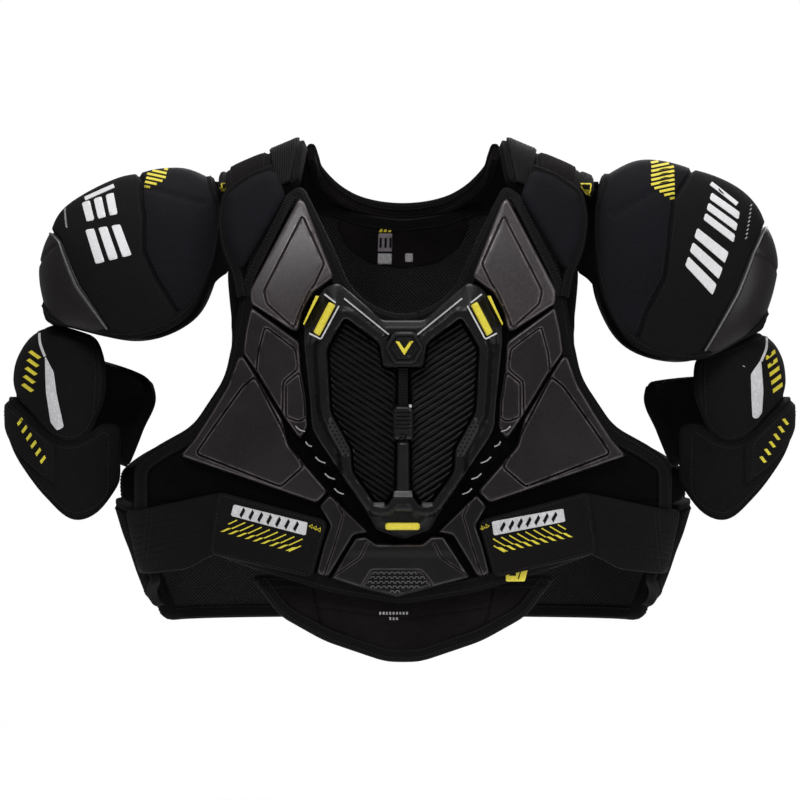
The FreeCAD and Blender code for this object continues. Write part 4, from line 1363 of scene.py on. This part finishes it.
STRIPES = {
    "right": [[(-304.5, -177), (-296.5, -191), (-293.5, -211), (-287.5, -238), (-293.5, -241),
               (-299, -234), (-303, -209)]],
    "left": [[(304.4, -180.5), (295, -193), (295.5, -214), (296.5, -230), (301, -231),
              (305, -226), (306, -207)]],
}
THIN_STRIPE = {"right": [(-311, -158), (-309, -168), (-304.5, -178)],
               "left": [(311.5, -160), (310, -171), (304.5, -182)]}


def guard_section(z):
    """Shift and radii of the arm guard's section at a height."""
    return 0.0, between(GUARD_RX, z), between(GUARD_RY, z)


def pad_section(z):
    """Shift and radii of the open sleeve pad's section at a height."""
    return between(PAD_CENTRE, z), between(PAD_RX, z), 43.0


def wrap_section(_):
    """Shift and radii of the wrap's section, the same at every height."""
    return 0.0, 57.0, 55.0


def padded_skin(grid, out, crown, thick, uneven=0.4, seed=1, soften=16.0, tuck=1.6):
    """Closed padded panel under a point grid, rounded down at its borders."""
    uv = grid_uv(grid)
    run = uv.reshape(grid.shape[0], grid.shape[1], 2)
    across = run[..., 0] - run[..., 0].min(1, keepdims=True)
    along = run[..., 1]
    near = np.minimum.reduce([across, across.max(1, keepdims=True) - across, along,
                              along.max(0, keepdims=True) - along])
    height = crown * (1.0 - np.clip(1.0 - near / soften, 0.0, 1.0) ** 2)
    height -= tuck * crossing_weight(near, 2.4)
    height += uneven * ripple(grid, 40.0, seed) * np.clip(near / 10.0, 0.0, 1.0)
    top = grid + out * height[..., None]
    shape = skin_solid(top, grid - out * thick, uv)
    shape.edge = np.concatenate([near.ravel(), near.ravel() * 0])
    return shape, top, out


def sleeve(side, angles, top, low, section, rows=44, columns=90, far=0.0, **options):
    """Curved padded panel round the arm; angle 0 faces the chest and 270 the front."""
    angle = np.linspace(*angles, columns)
    high, deep = between(top, angle), between(low, angle)
    z = deep[:, None] + (high - deep)[:, None] * eased(rows)
    shift, rx, ry = section(z)
    turn = np.radians(angle)[:, None]
    x = ARM_X[side] - SIDES[side] * (shift + (rx + far) * np.cos(turn))
    y = (ry + far) * np.sin(turn)
    grid = np.stack([x + 0.0 * z, y + 0.0 * z, z], -1)
    from_axis = (grid - (ARM_X[side], 0.0, 0.0)) * (1, 1, 0)
    return padded_skin(grid, facing(grid_normals(grid), from_axis), **options)


def border(grid, out, inset=0, lift=0.3):
    """Closed path round a grid, 'inset' rows in from its edge."""
    inner = slice(inset, grid.shape[0] - inset), slice(inset, grid.shape[1] - inset)
    grid, out = grid[inner], out[inner]
    parts = [(grid[0], out[0]), (grid[1:, -1], out[1:, -1]),
             (grid[-1, -2::-1], out[-1, -2::-1]), (grid[-2:0:-1, 0], out[-2:0:-1, 0])]
    points = np.vstack([p for p, _ in parts])
    ups = np.vstack([u for _, u in parts])
    even = resample(np.hstack([points, ups]), 2.5, True)
    for _ in range(6):
        even = (np.roll(even, 1, 0) + 2.0 * even + np.roll(even, -1, 0)) / 4.0
    return even[:, :3] + unit(even[:, 3:]) * lift, unit(even[:, 3:])


def taped(grid, out, lift, thick, wide=3.4):
    """Cloth tape bound over the edge of a panel that is 'thick' millimetres thick."""
    section = [(-wide, -thick - 0.8), (wide, -thick - 0.8), (wide, 0.2), (wide * 0.5, 0.9),
               (-wide * 0.5, 0.9), (-wide, 0.2)]
    return tube(*border(grid, out, 0, lift), section, True)


def hem(grid, out, inset, lift=0.2):
    """Stitch row round a panel, 'inset' rows in from its edge."""
    return stitch_row(*border(grid, out, inset, lift), closed=True)


def upper_arm(side):
    """Guard, open sleeve pad, wrap and wrap strap of one arm."""
    body = side + "_arm"
    sign = SIDES[side]
    guard, grid, out = sleeve(side, (150, 305), GUARD_TOP[side], GUARD_LOW, guard_section,
                              crown=1.6, thick=8.0, uneven=0.5, seed=11)
    piece(side + "_bicep_guard", guard, black_knit, body, "neoprene",
          [side + "_bicep_guard"], padded=0.85)
    bind(side + "_guard_binding", taped(grid, out, 0.0, 7.6), body, fuzzy_cloth)
    rows = [hem(grid, out, inset) for inset in (3, 6)]
    on_guard = on_skin(guard)
    marks = [decal(outline, on_guard, 0.5, 1.5, 2.0) for outline in STRIPES[side]]
    marks.append(laid(rounded(THIN_STRIPE[side], 4, 2.0, closed=False), on_guard,
                      flat_band(2.2, -0.3, 0.5, -1.1, 0.2)))
    piece(side + "_guard_stripes", joined(marks), silver_print, body, "label_cloth")
    bars = slanted_bars(sign, on_guard, (313.5, -178.0), (1.5, -7.0), [(4.5, 4.5), (-4.5, -1.5)],
                        5, width=3.0, height=0.4, shear=0.8)
    piece(side + "_guard_hatching", bars, yellow_print, body, "yellow_trim")

    pad, grid, out = sleeve(side, (0, 264), PAD_TOP[side], PAD_LOW, pad_section,
                            crown=0.0, thick=7.0, uneven=0.5, seed=12, columns=110)
    piece(side + "_bicep_pad", pad, [sleeve_mesh], body, "mesh_lining",
          [side + "_bicep_pad"], padded=0.7)
    bind(side + "_pad_binding", taped(grid, out, -0.5, 6.0, 2.6), body)

    wrap, grid, out = sleeve(side, (120, 317), WRAP_TOP, WRAP_LOW, wrap_section,
                             crown=0.0, thick=6.0, uneven=0.8, seed=13, columns=110)
    piece(side + "_bicep_wrap", wrap, wrap_cloth, body, "stretch_wrap",
          [side + "_bicep_wrap"], padded=0.5)
    bind(side + "_wrap_binding", taped(grid, out, -0.4, 5.0, 2.4), body)
    rows.append(hem(grid, out, 7, 0.15))
    sew(side + "_arm_stitches", rows, body)

    strap_top = [(a, z - 2.5) for a, z in WRAP_TOP]
    strap, grid, out = sleeve(side, (174, 258), strap_top, STRAP_LOW, wrap_section, far=2.6,
                              crown=0.4, thick=2.0, uneven=0.3, seed=14, rows=30, columns=50)
    body = side + "_strap"
    piece(side + "_bicep_strap", strap, web_cloth, body, "stretch_wrap",
          [side + "_bicep_strap"])
    on_strap = on_skin(strap)
    bars = slanted_bars(sign, on_strap, (305.5, -265.5), (4.1, 6.4), [(-2.0, 2.5), (2.0, -2.5)],
                        6, width=2.4, height=0.45, shear=0.5)
    piece(side + "_strap_hatching", bars, yellow_print, body, "yellow_trim")
    sew(side + "_strap_stitches", [hem(grid, out, 4)], body)


# ---------------------------------------------------------------- side wings and belts
BELT_OUTLINE = [(-236, -309), (-218, -306.5), (-163, -294.5), (-149, -292), (-151, -342),
                (-163, -347), (-182, -357.5), (-213, -362), (-226, -363)]
HOOK_OUTLINE = [(-156, -291.5), (-62.5, -316), (-76, -364), (-163, -344)]
HOOK_PANEL = [(-150.5, -297.5), (-70, -318.5), (-80, -353), (-153, -338)]
NAME_BAR = {"right": [(-142, -302.4), (-79.8, -317.5), (-81.5, -328.4), (-144.5, -312.0)],
            "left": [(74.0, -316.7), (134.2, -305.9), (135.9, -316.8), (75.7, -328.4)]}
HATCH = {"right": ((-139.1, -315.7), (6.87, -1.95), (-18.3, -8.4)),
         "left": ((68.4, -332.6), (6.8, 1.46), (16.4, -9.6))}
ARROW_START = {"right": (-78.6, -320.4), "left": (71.9, -320.2)}


def side_wing():
    """Flexible side panel from the back panel round to the front edge, under the belt."""
    rows = []
    for y in np.linspace(18.8, -34.0, 30):
        top = -303.0 - 0.12 * (20.0 - y)
        low = -392.0 + 0.42 * (20.0 - y)
        z = top + (low - top) * eased(46)
        deep = (BACK_DEPTH if y > 0 else CHEST_DEPTH) + 8.0
        hinge_fade = np.clip((19.0 - y) / 10.0, 0.0, 1.0)
        bulge = 8.0 + 5.0 * np.clip((y + 34.0) / 30.0, 0.0, 1.0) * hinge_fade
        round_off = (1.0 - (abs(y) / deep) ** ROUNDNESS) ** (1.0 / ROUNDNESS)
        wide = (half_width(z) + bulge) * round_off
        rows.append(np.stack([-wide, np.full(len(z), y), z], -1))
    grid = np.array(rows)
    out = facing(grid_normals(grid), (-1.0, 0.0, 0.0))
    shape, top, out = padded_skin(grid, out, 0.0, 7.5, 0.35, 21)
    pair("side_wing", shape, loop_cloth, "*belt", "knit_panel", ["side_wing"], padded=0.7)
    bind_pair("wing_binding", taped(top, out, -0.6, 6.4, 4.4), "*belt")
    sew_pair("wing_stitches", [hem(top, out, 5)], "*belt")


def belts():
    """Elastic belts, their hook tabs and the marks on them."""
    profile = ((0.0, 11.8), (0.6, 13.2), (1.6, 13.5))
    creases = [([(-229 + 0.1 * k, -322 - 5.0 * k), (-158, -306 - 5.0 * k)], 0.9, 0.25)
               for k in range(7)]
    belt = plate(BELT_OUTLINE, chest, profile, 11.3, 4.0, 2.6, creases)
    pair("elastic_belt", belt, elastic_cloth, "*belt", "elastic_web", ["elastic_belt"])
    hook_profile = ((0.0, 15.0), (0.8, 17.0), (2.0, 17.5))
    panel = rounded(HOOK_PANEL, 4.0, 2.4)

    def relief(flat, away):
        return -0.8 * np.where(inside(flat, panel), np.clip(distance(flat, panel), 0.0, 1.0), 0.0)
    hook = plate(HOOK_OUTLINE, chest, hook_profile, 13.8, 7.0, 2.2, (), relief)
    pair("hook_tab", hook, black_knit, "*belt", "elastic_web", ["hook_tab"])
    outline = anticlockwise(rounded(HOOK_OUTLINE, 7.0, 2.4))
    lines = seam_rows(outline, chest, [(2.4, 17.55)])
    belt_line = rounded([(-216, -310), (-222, -359)], 0, 2.4, closed=False)
    for shift in (0.0, 4.0):
        lines.append(stitch_row(*surface_path(belt_line + (shift, 0.0), chest, 13.6)))
    sew_pair("belt_stitches", lines, "*belt")
    belt_marks("right", on_skin(hook))
    belt_marks("left", on_skin(hook.mirrored()))


def belt_marks(side, place):
    """Blank bar, slanting hatch marks and three small triangles on one hook tab."""
    sign, body = SIDES[side], side + "_belt"
    piece(side + "_name_bar", decal(NAME_BAR[side], place, 0.6, 0.8, 2.0), silver_print, body,
          "label_cloth")
    bar = np.array(NAME_BAR[side])
    low, high = (bar[0] + bar[3]) / 2.0, (bar[1] + bar[2]) / 2.0
    dashes = []
    for k in range(7):
        spot = low + (high - low) * (0.14 + 0.12 * k)
        dashes.append(stroke(spot + (-1.7, -3.2), spot + (1.7, 3.2), 2.6, place, 0.9, 0.8))
    piece(side + "_name_bar_marks", joined(dashes), rib_foam, body, "label_cloth")
    marks = []
    start, step, run = (np.array(part) for part in HATCH[side])
    last_mark = 9
    order = range(10) if side == "right" else range(last_mark, -1, -1)
    for k, place_number in enumerate(order):
        spot = start + step * place_number
        first, last = (0.72, 1.0) if k == last_mark else (0.0, 0.62)
        if k == 0:
            last = 0.4
        marks.append(stroke(spot + run * first * 0.62, spot + run * last, 0.95, place, 0.45))
        if k > 0:
            wide, thick = (sign * 3.4, 0.0), run * 0.36
            corner = spot + run * 0.62 + (0.0, 0.4)
            marks.append(chip([corner, corner + wide, corner + wide + thick, corner + thick],
                              place, 0.5))
    for k in range(3):
        spot = np.array(ARROW_START[side]) + (-sign * 3.4 * k, -1.4 * k)
        corners = [spot, spot - (sign * 2.7, -1.6), spot - (sign * 2.3, 2.2)]
        marks.append(laid(rounded(corners, 0.0, 3.0), place,
                          flat_band(0.8, -0.4, 0.5, -0.4, 0.1), True))
    piece(side + "_belt_hatching", joined(marks), yellow_print, body, "yellow_trim")


def size_tag():
    """Small blank tag at the foot of the front panel."""
    tag = [(86, -354.5), (105, -354.5), (102, -367.0), (86, -367.0)]
    piece("size_tag", plate(tag, chest, ((0.0, 12.4), (0.5, 13.0)), 10.6, 1.0, 1.6), yellow,
          "front", "label_cloth")
    slash = joined([stroke((96.5, -365), (99.0, -356.5), 0.9, chest, 13.3),
                    stroke((89, -361), (94.5, -361), 2.4, chest, 13.3)])
    piece("size_tag_marks", slash, rib_foam, "front", "label_cloth")


# ---------------------------------------------------------------- shoulders and collar
COLLAR_TOP = [(-75.5, 6, 5), (-73.5, 24, -1), (-70, 42, -11), (-55, 58, -27), (-37, 70, -37),
              (0, 77, -43)]


SHOULDER_SLOPE, SHOULDER_CURVE, NECK_HALF = 0.42, 0.0105, 90.0


def arch(x_range, y_range, lift, narrow=0.0, rows=40, columns=18):
    """Grid on the right shoulder's arch, 'lift' above its underside, with outward normals."""
    ease = eased(rows)[:, None]
    y = y_range[0] + (y_range[1] - y_range[0]) * ease
    pinch = 1.0 - narrow * (1.0 - ease) ** 2
    across = eased(columns) - 0.5
    x = 0.5 * (x_range[0] + x_range[1]) + (x_range[1] - x_range[0]) * pinch * across
    z = -SHOULDER_SLOPE * (np.abs(x) - NECK_HALF) - SHOULDER_CURVE * y * y
    grid = np.stack([x, y + 0.0 * x, z], -1)
    out = facing(grid_normals(grid), (0.0, 0.0, 1.0))
    return grid + out * lift, out


def shoulder_piece(name, x_range, y_range, layer, materials, slot, narrow=0.0, crown=0.6,
                   seed=31):
    """Padded strip over the shoulder with a bound, stitched edge; layer is (low, high)."""
    grid, out = arch(x_range, y_range, layer[1] - crown * 0.5, narrow)
    shape, top, out = padded_skin(grid, out, crown, layer[1] - layer[0] - 0.3, 0.25, seed, 9.0)
    shape = puffed(shape, 3.0, 1.6)
    pair(name, shape, materials, "back", slot, [name], padded=0.8)
    thick = layer[1] - layer[0] - 1.2
    bind_pair(name + "_binding", taped(top, out, -0.5, thick, 2.8), "back")
    sew_pair(name + "_stitches", [hem(top, out, 3)], "back")


def shoulders():
    """Shoulder straps, yoke pads, ribbons and the small pads beside the caps."""
    shoulder_piece("front_strap", (-109.0, -85.0), (-55.0, -2.0), (0, 8), black_knit,
                   "elastic_web", 0.45)
    shoulder_piece("back_strap", (-109.0, -85.0), (2.0, 61.0), (0, 8), black_knit,
                   "elastic_web")
    shoulder_piece("yoke_pad", (-146.5, -113.0), (-41.0, 59.0), (-1, 9), fuzzy_cloth,
                   "neoprene", crown=1.4, seed=32)
    grid, out = arch((-111.0, -85.5), (-57.0, -2.0), 10.3, 0.62)
    shape, top, out = padded_skin(grid, out, 0.4, 2.2, 0.15, 33, 6.0, 0.5)
    pair("shoulder_ribbon", shape, web_cloth, "back", "elastic_web")
    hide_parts("shoulder_ribbons")
    sew_pair("ribbon_stitches", [hem(top, out, 3, 0.15)], "back")
    for side, sign in SIDES.items():
        outer = 155.5 if side == "right" else 161.0
        grid, out = arch((-outer, -149.0), (-34.0, 34.0), 7.6, 0.0, 40, 12)
        shape, _, _ = padded_skin(grid, out, 0.5, 8.0, 0.1, 34, 6.0)
        shape = shape if side == "right" else shape.mirrored()
        node = ["strap_pads"] if side == "right" else []
        piece(side + "_strap_pad", shape, black_knit, "back", "strap_foam", node, padded=0.8)
        place = on_skin(shape)
        inner, far = sign * 150.0, sign * (outer - 0.8)
        corners = [(inner, -31.0), (far, -31.0), (far - sign * 1.5, -41.5)]
        lines = [stroke(a, b, 1.1, place, 0.5)
                 for a, b in zip(corners, corners[1:] + corners[:1])]
        piece(side + "_strap_triangle", joined(lines), yellow_print, "back", "yellow_trim")


def whole_collar(half):
    """Path round the back of the neck from its right half."""
    return list(half) + [(-x, y, z) for x, y, z in reversed(half[:-1])]


def collar():
    """Padded band round the back of the neck, bound along its top edge."""
    dense = curve_3d(whole_collar(COLLAR_TOP))
    ups = np.tile((0.0, 0.0, 1.0), (len(dense), 1))
    section = [(-0.4, -13.2), (-1.4, -14.0), (-5.6, -14.0), (-6.8, -12.6), (-7.0, -8.0),
               (-6.9, -2.4), (-5.6, -0.5), (-3.5, 0.0), (-1.4, -0.5), (-0.2, -2.4), (0.0, -8.0)]
    piece("neck_collar", tube(dense, ups, section), fuzzy_cloth, "back", "knit_panel",
          ["neck_collar"], padded=0.8)
    tape = [(0.5, -6.0), (0.6, -2.2), (-1.2, 0.4), (-3.5, 0.9), (-5.8, 0.4), (-7.6, -2.2),
            (-7.5, -6.0), (-6.6, -6.0), (-3.5, -1.0), (-0.5, -6.0)]
    bind("collar_binding", tube(dense, ups, tape), "back")
    inward = unit(np.cross(np.gradient(dense, axis=0), ups))
    rows = [stitch_row(dense + inward * 0.65 + ups * -5.0, inward),
            stitch_row(dense + inward * 0.15 + ups * -11.6, inward)]
    sew("collar_stitches", rows, "back")


def neck_gusset():
    """Cloth that joins the collar to the shoulder straps and to the top of the back panel."""
    top = [(x, y + 2.0, z - 8.0) for x, y, z in COLLAR_TOP]
    low = [(-86, 2, 3), (-86, 30, -6.5), (-86, 54, -28), (-84, 66, -45), (-62, 75, -51),
           (-40, 79, -59), (0, 81, -64)]
    rails = []
    for half in (top, low):
        path = curve_3d(whole_collar(half))
        rails.append(resample(path, arc_lengths(path)[-1] / 110, False))
    count = min(len(rail) for rail in rails)
    share = np.linspace(0.0, 1.0, 14)[None, :, None]
    grid = rails[0][:count, None] * (1.0 - share) + rails[1][:count, None] * share
    out = grid_normals(grid)
    shape = skin_solid(grid + out * 1.3, grid - out * 1.3)
    made = piece("neck_gusset", shape, fuzzy_cloth, "back", "knit_panel")


def cap_mesh():
    """Open cloth sewn between each shoulder and its cap."""
    high, low = -27.0, np.linspace(-106.0, -118.0, 8)
    z = low + (high - low) * np.linspace(0.0, 1.0, 16)[:, None]
    near = np.interp(z, [-113, -96, -27], [-155, -147, -146])
    far = np.interp(z, [-113, -75, -27], [-165, -176, -168])
    x = near + (far - near) * np.linspace(0.0, 1.0, 8)
    grid = np.stack([x, 4.0 + 0.0 * x, z + 0.0 * x], -1)
    out = grid_normals(grid)
    pair("cap_mesh", skin_solid(grid + out * 0.8, grid - out * 0.8), sleeve_mesh, "back",
         "mesh_lining")


def curve_3d(points, step=2.5):
    """Smooth evenly spaced path through points in space."""
    points = np.array(points, float)
    run = arc_lengths(points)
    where = np.linspace(0.0, run[-1], 200)
    path = np.stack([between(list(zip(run, points[:, k])), where) for k in range(3)], -1)
    return resample(path, step, False)


# ---------------------------------------------------------------- back panel
BACK_HALF = [(0, -58), (-40, -53), (-62, -44), (-84, -42), (-118, -52), (-148, -75),
             (-151, -105), (-147, -150), (-149, -190), (-166, -230), (-198, -250),
             (-239, -277), (-262, -303), (-262, -345), (-262, -385), (-212, -391), (-203, -404),
             (0, -404)]
SCAPULA = [(-44, -96), (-128, -112), (-136, -180), (-120, -214), (-44, -232)]
KIDNEY = [(-44, -246), (-126, -232), (-178, -268), (-188, -340), (-150, -378), (-44, -384)]
UNROLL = 240.0
REARMOST = 112.0


def rear_wrap(u, z, h):
    """Back surface with u measured round it, so that the sides aren't stretched."""
    share = np.abs(np.sin(u / UNROLL))
    deep = BACK_DEPTH - BACK_DROP * lean(z) ** 2 + h
    x = (half_width(z) + h) * np.sin(u / UNROLL)
    return np.stack([x, deep * section_depth(share, z), z], -1)


def unrolled(points):
    """Outline of the back panel in front view, turned into distances round the back."""
    furthest = math.sin(math.radians(82.0))
    result = []
    for x, z in points:
        share = min(abs(x) / (float(half_width(z)) + 4.0), furthest)
        result.append((math.copysign(UNROLL * math.asin(share), x), z))
    return result


def shrunk(outline, by):
    """Outline pulled in by a distance, for a facet that follows a plate's edge."""
    loop = anticlockwise(rounded(outline, 10.0, 3.0))
    ring = loop + side_normals(loop, True) * by
    return ring[distance(ring, loop) > by * 0.96]


def back_panel():
    """Quilted cloth panel over the back, with its bound edge."""
    outline = unrolled(both_halves(BACK_HALF))
    quilting = [([(s * 206, -262), (s * 206, -388)], 2.0, 1.3) for s in (1, -1)]
    quilting += [([(s * 150, -150), (s * 60, -165)], 2.0, 0.9) for s in (1, -1)]
    piece("back_panel", lined_panel(outline, rear_wrap, 4.5, quilting), [knit, lining_mesh],
          "back", "knit_panel", ["back_panel", "back_liner"])
    loop = anticlockwise(rounded(outline, 12.0, 3.0))
    section = [(0.6, -3.8), (4.5, -4.4), (9.5, -4.2), (9.5, -2.6), (1.4, -1.6), (1.2, 5.0),
               (4.0, 8.6), (11.3, 9.8), (11.0, 11.3), (4.0, 10.9), (0.8, 9.6), (-1.0, 7.2),
               (-1.6, 3.0), (-1.2, -1.5)]
    bind("back_binding", laid(loop, rear_wrap, section, True), "back")
    rows = seam_rows(loop, rear_wrap, [(2.4, 10.5), (9.4, 11.4)])
    path = loop + side_normals(loop, True) * 8.2
    points, ups = surface_path(path, rear_wrap, -4.5)
    rows.append(stitch_row(points, -ups, closed=True))
    sew("back_stitches", rows, "back")


def back_plates():
    """Shoulder blade and kidney plates."""
    edge = ((0.0, 11.0), (0.8, 13.4), (2.2, 14.6), (3.6, 15.0))
    for name, outline in (("scapula_plate", SCAPULA), ("kidney_plate", KIDNEY)):
        flat = unrolled(outline)
        relief, lines = facets([shrunk(flat, 11.0)], 1.0, 2.2, 1.4, 1.8)
        for share in (0.36, 0.68):
            top = flat[0][1] + (flat[-1][1] - flat[0][1]) * share
            lines.append(([(flat[0][0] - 14.0, top), (flat[2][0] + 16.0, top + 12.0)], 1.6, 1.6))
        shape = plate(flat, rear_wrap, edge, BACK_PLATE_BOTTOM, 9.0, 2.6, lines, relief)
        pair(name, shape, foam, "back", "moulded_foam", [name])


def spine_surface(x, z, h):
    """Back surface, cut flat at the rearmost plane of the part."""
    points = rear_wrap(x, z, h)
    points[:, 1] = np.minimum(points[:, 1], REARMOST)
    return points


def spine():
    """Long plastic plate of overlapping vertebrae down the middle of the back."""
    top, vertebra = -110.0, 32.75

    def relief(flat, away):
        phase = np.mod((top - flat[:, 1]) / vertebra, 1.0)
        step = np.interp(phase, [0.0, 0.1, 0.2, 0.9, 1.0], [-3.6, -3.2, 0.0, -1.0, -3.6])
        return step * np.clip(away / 4.0, 0.3, 1.0)
    outline = [(-34, top), (34, top), (34, -372), (-34, -372)]
    profile = ((0.0, 12.0), (1.0, 15.0), (3.0, 17.0), (8.0, 19.0), (14.0, 20.4))
    shape = plate(outline, spine_surface, profile, BACK_PLATE_BOTTOM, 12.0, 2.0, (), relief)
    piece("spine_plate", shape, frame_plastic, "back", "spine_plastic", ["spine_plate"])


def neck_labels():
    """Blank sewn labels inside the back of the neck."""
    def inner(x, z, h):
        return rear_wrap(x, z, PANEL_INSIDE - h)
    edge = both_halves([(0, -59), (-40, -54), (-60, -48), (-70, -62), (-55, -82), (-33, -95),
                        (0, -99.5)])
    piece("neck_facing", plate(edge, inner, ((0.0, 0.4), (0.6, 0.9)), -0.4, 4.0, 2.6),
          fuzzy_cloth, "back", "knit_panel")
    size = plate([(-25, -69), (-10.8, -69), (-10.8, -96), (-25, -96)], inner,
                 ((0.0, 0.8), (0.4, 1.4)), -0.6, 0.5, 1.6)
    piece("size_label", size, label_cloth, "back", "label_cloth", ["size_label"])
    small = plate([(2, -86), (10, -86), (10, -94), (2, -94)], inner, ((0.0, 0.6), (0.4, 1.1)),
                  -0.4, 0.5, 1.4)
    lower = plate([(-24.6, -86.5), (-11.2, -86.5), (-11.2, -95.4), (-24.6, -95.4)], inner,
                  ((0.0, 1.4), (0.4, 1.8)), 0.6, 0.5, 1.6)
    piece("care_label", joined([small, lower]), pale_print, "back", "label_cloth")
    dashes = [stroke((-24.0 + 4.6 * k, -66.6), (-21.2 + 4.6 * k, -66.6), 2.6, inner, 1.2, 0.6)
              for k in range(3)]
    piece("label_dashes", joined(dashes), yellow_print, "back", "yellow_trim")
    bars = [stroke((-22.6 + 5.0 * k, -73.0), (-22.6 + 5.0 * k, -81.5), 2.2, inner, 1.9)
            for k in range(3)]
    bars.append(stroke((-25, -85.4), (-10.8, -85.4), 1.4, inner, 1.9))
    piece("label_bars", joined(bars), rib_foam, "back", "label_cloth")


# ---------------------------------------------------------------- camera, lights and floor
def stage():
    """Long lens square to the chest, soft light from above and in front, pale floor."""
    distance_away, wide, floor_drop = 4.0, 0.688, 0.16
    aim = Vector((-0.0026, 0.0, -0.215))
    camera = bpy.data.objects.new("Camera", bpy.data.cameras.new("Camera"))
    camera.data.lens = camera.data.sensor_width * distance_away / wide
    camera.location = aim + Vector((0.0, -distance_away, 0.0))
    camera.rotation_euler = (math.radians(90.0), 0.0, 0.0)
    camera.data.clip_end = 60.0
    bpy.context.scene.collection.objects.link(camera)
    bpy.context.scene.camera = camera

    def lamp(name, where, size, power, target=aim):
        light = bpy.data.lights.new(name, "AREA")
        light.shape = "RECTANGLE"
        light.size, light.size_y = size
        light.energy = power
        made = bpy.data.objects.new(name, light)
        made.location = where
        made.rotation_euler = (Vector(target) - Vector(where)).to_track_quat("-Z", "Y").to_euler()
        bpy.context.scene.collection.objects.link(made)

    lamp("KeyLight", (-0.5, -1.5, 1.5), (1.2, 0.8), 25.0)
    lamp("SideLight", (1.6, -1.1, 0.7), (0.7, 1.0), 11.0)
    lamp("TopLight", (0.0, 0.25, 1.5), (1.4, 0.7), 16.0)
    lamp("BackLight", (0.4, 1.8, 0.8), (1.4, 1.0), 19.0)

    world = bpy.data.worlds.new("Studio")
    bpy.context.scene.world = world
    world.use_nodes = True
    nodes, links = world.node_tree.nodes, world.node_tree.links
    nodes.clear()
    seen = nodes.new("ShaderNodeLightPath")
    glow, white = nodes.new("ShaderNodeBackground"), nodes.new("ShaderNodeBackground")
    for background, strength in ((glow, 0.14), (white, 1.0)):
        background.inputs["Color"].default_value = (1.0, 1.0, 1.0, 1.0)
        background.inputs["Strength"].default_value = strength
    mixed, out = nodes.new("ShaderNodeMixShader"), nodes.new("ShaderNodeOutputWorld")
    links.new(seen.outputs["Is Camera Ray"], mixed.inputs[0])
    links.new(glow.outputs[0], mixed.inputs[1])
    links.new(white.outputs[0], mixed.inputs[2])
    links.new(mixed.outputs[0], out.inputs[0])

    bpy.ops.mesh.primitive_circle_add(vertices=96, radius=1.9, fill_type="NGON",
                                      location=(0.0, 0.0, cad_low.z - floor_drop))
    floor = bpy.context.object
    floor.name = "Floor"
    g = Graph("FloorPaint")
    spot = g.node("SeparateXYZ", {0: g.node("TexCoord").outputs["Object"]})
    across = g.math("POWER", spot.outputs[0], 2.0)
    reach = g.math("SQRT", g.math("ADD", across, g.math("POWER", spot.outputs[1], 2.0)))
    paint = g.node("BsdfPrincipled", {"Base Color": (0.9, 0.9, 0.9, 1.0), "Roughness": 0.8,
                                     "Emission Color": (1.0, 1.0, 1.0, 1.0),
                                     "Emission Strength": 0.26})
    clear = g.node("BsdfTransparent")
    both = g.node("MixShader", {0: g.ramp(reach, 0.7, 1.8), 1: paint.outputs[0],
                                2: clear.outputs[0]})
    g.node("OutputMaterial", {0: both.outputs[0]})
    floor.data.materials.append(g.material)
    bpy.context.scene.view_settings.view_transform = "Standard"


def main():
    chest_panel()
    chest_plates()
    abdomen()
    sternum_frame()
    ribbed_pads()
    frame_trim()
    crest()
    sternum_adjuster()
    collarbone_parts()
    belly_pad()
    for side in SIDES:
        shoulder_cap(side)
        upper_arm(side)
    side_wing()
    belts()
    size_tag()
    shoulders()
    collar()
    neck_gusset()
    cap_mesh()
    back_panel()
    back_plates()
    spine()
    neck_labels()
    stage()


main()
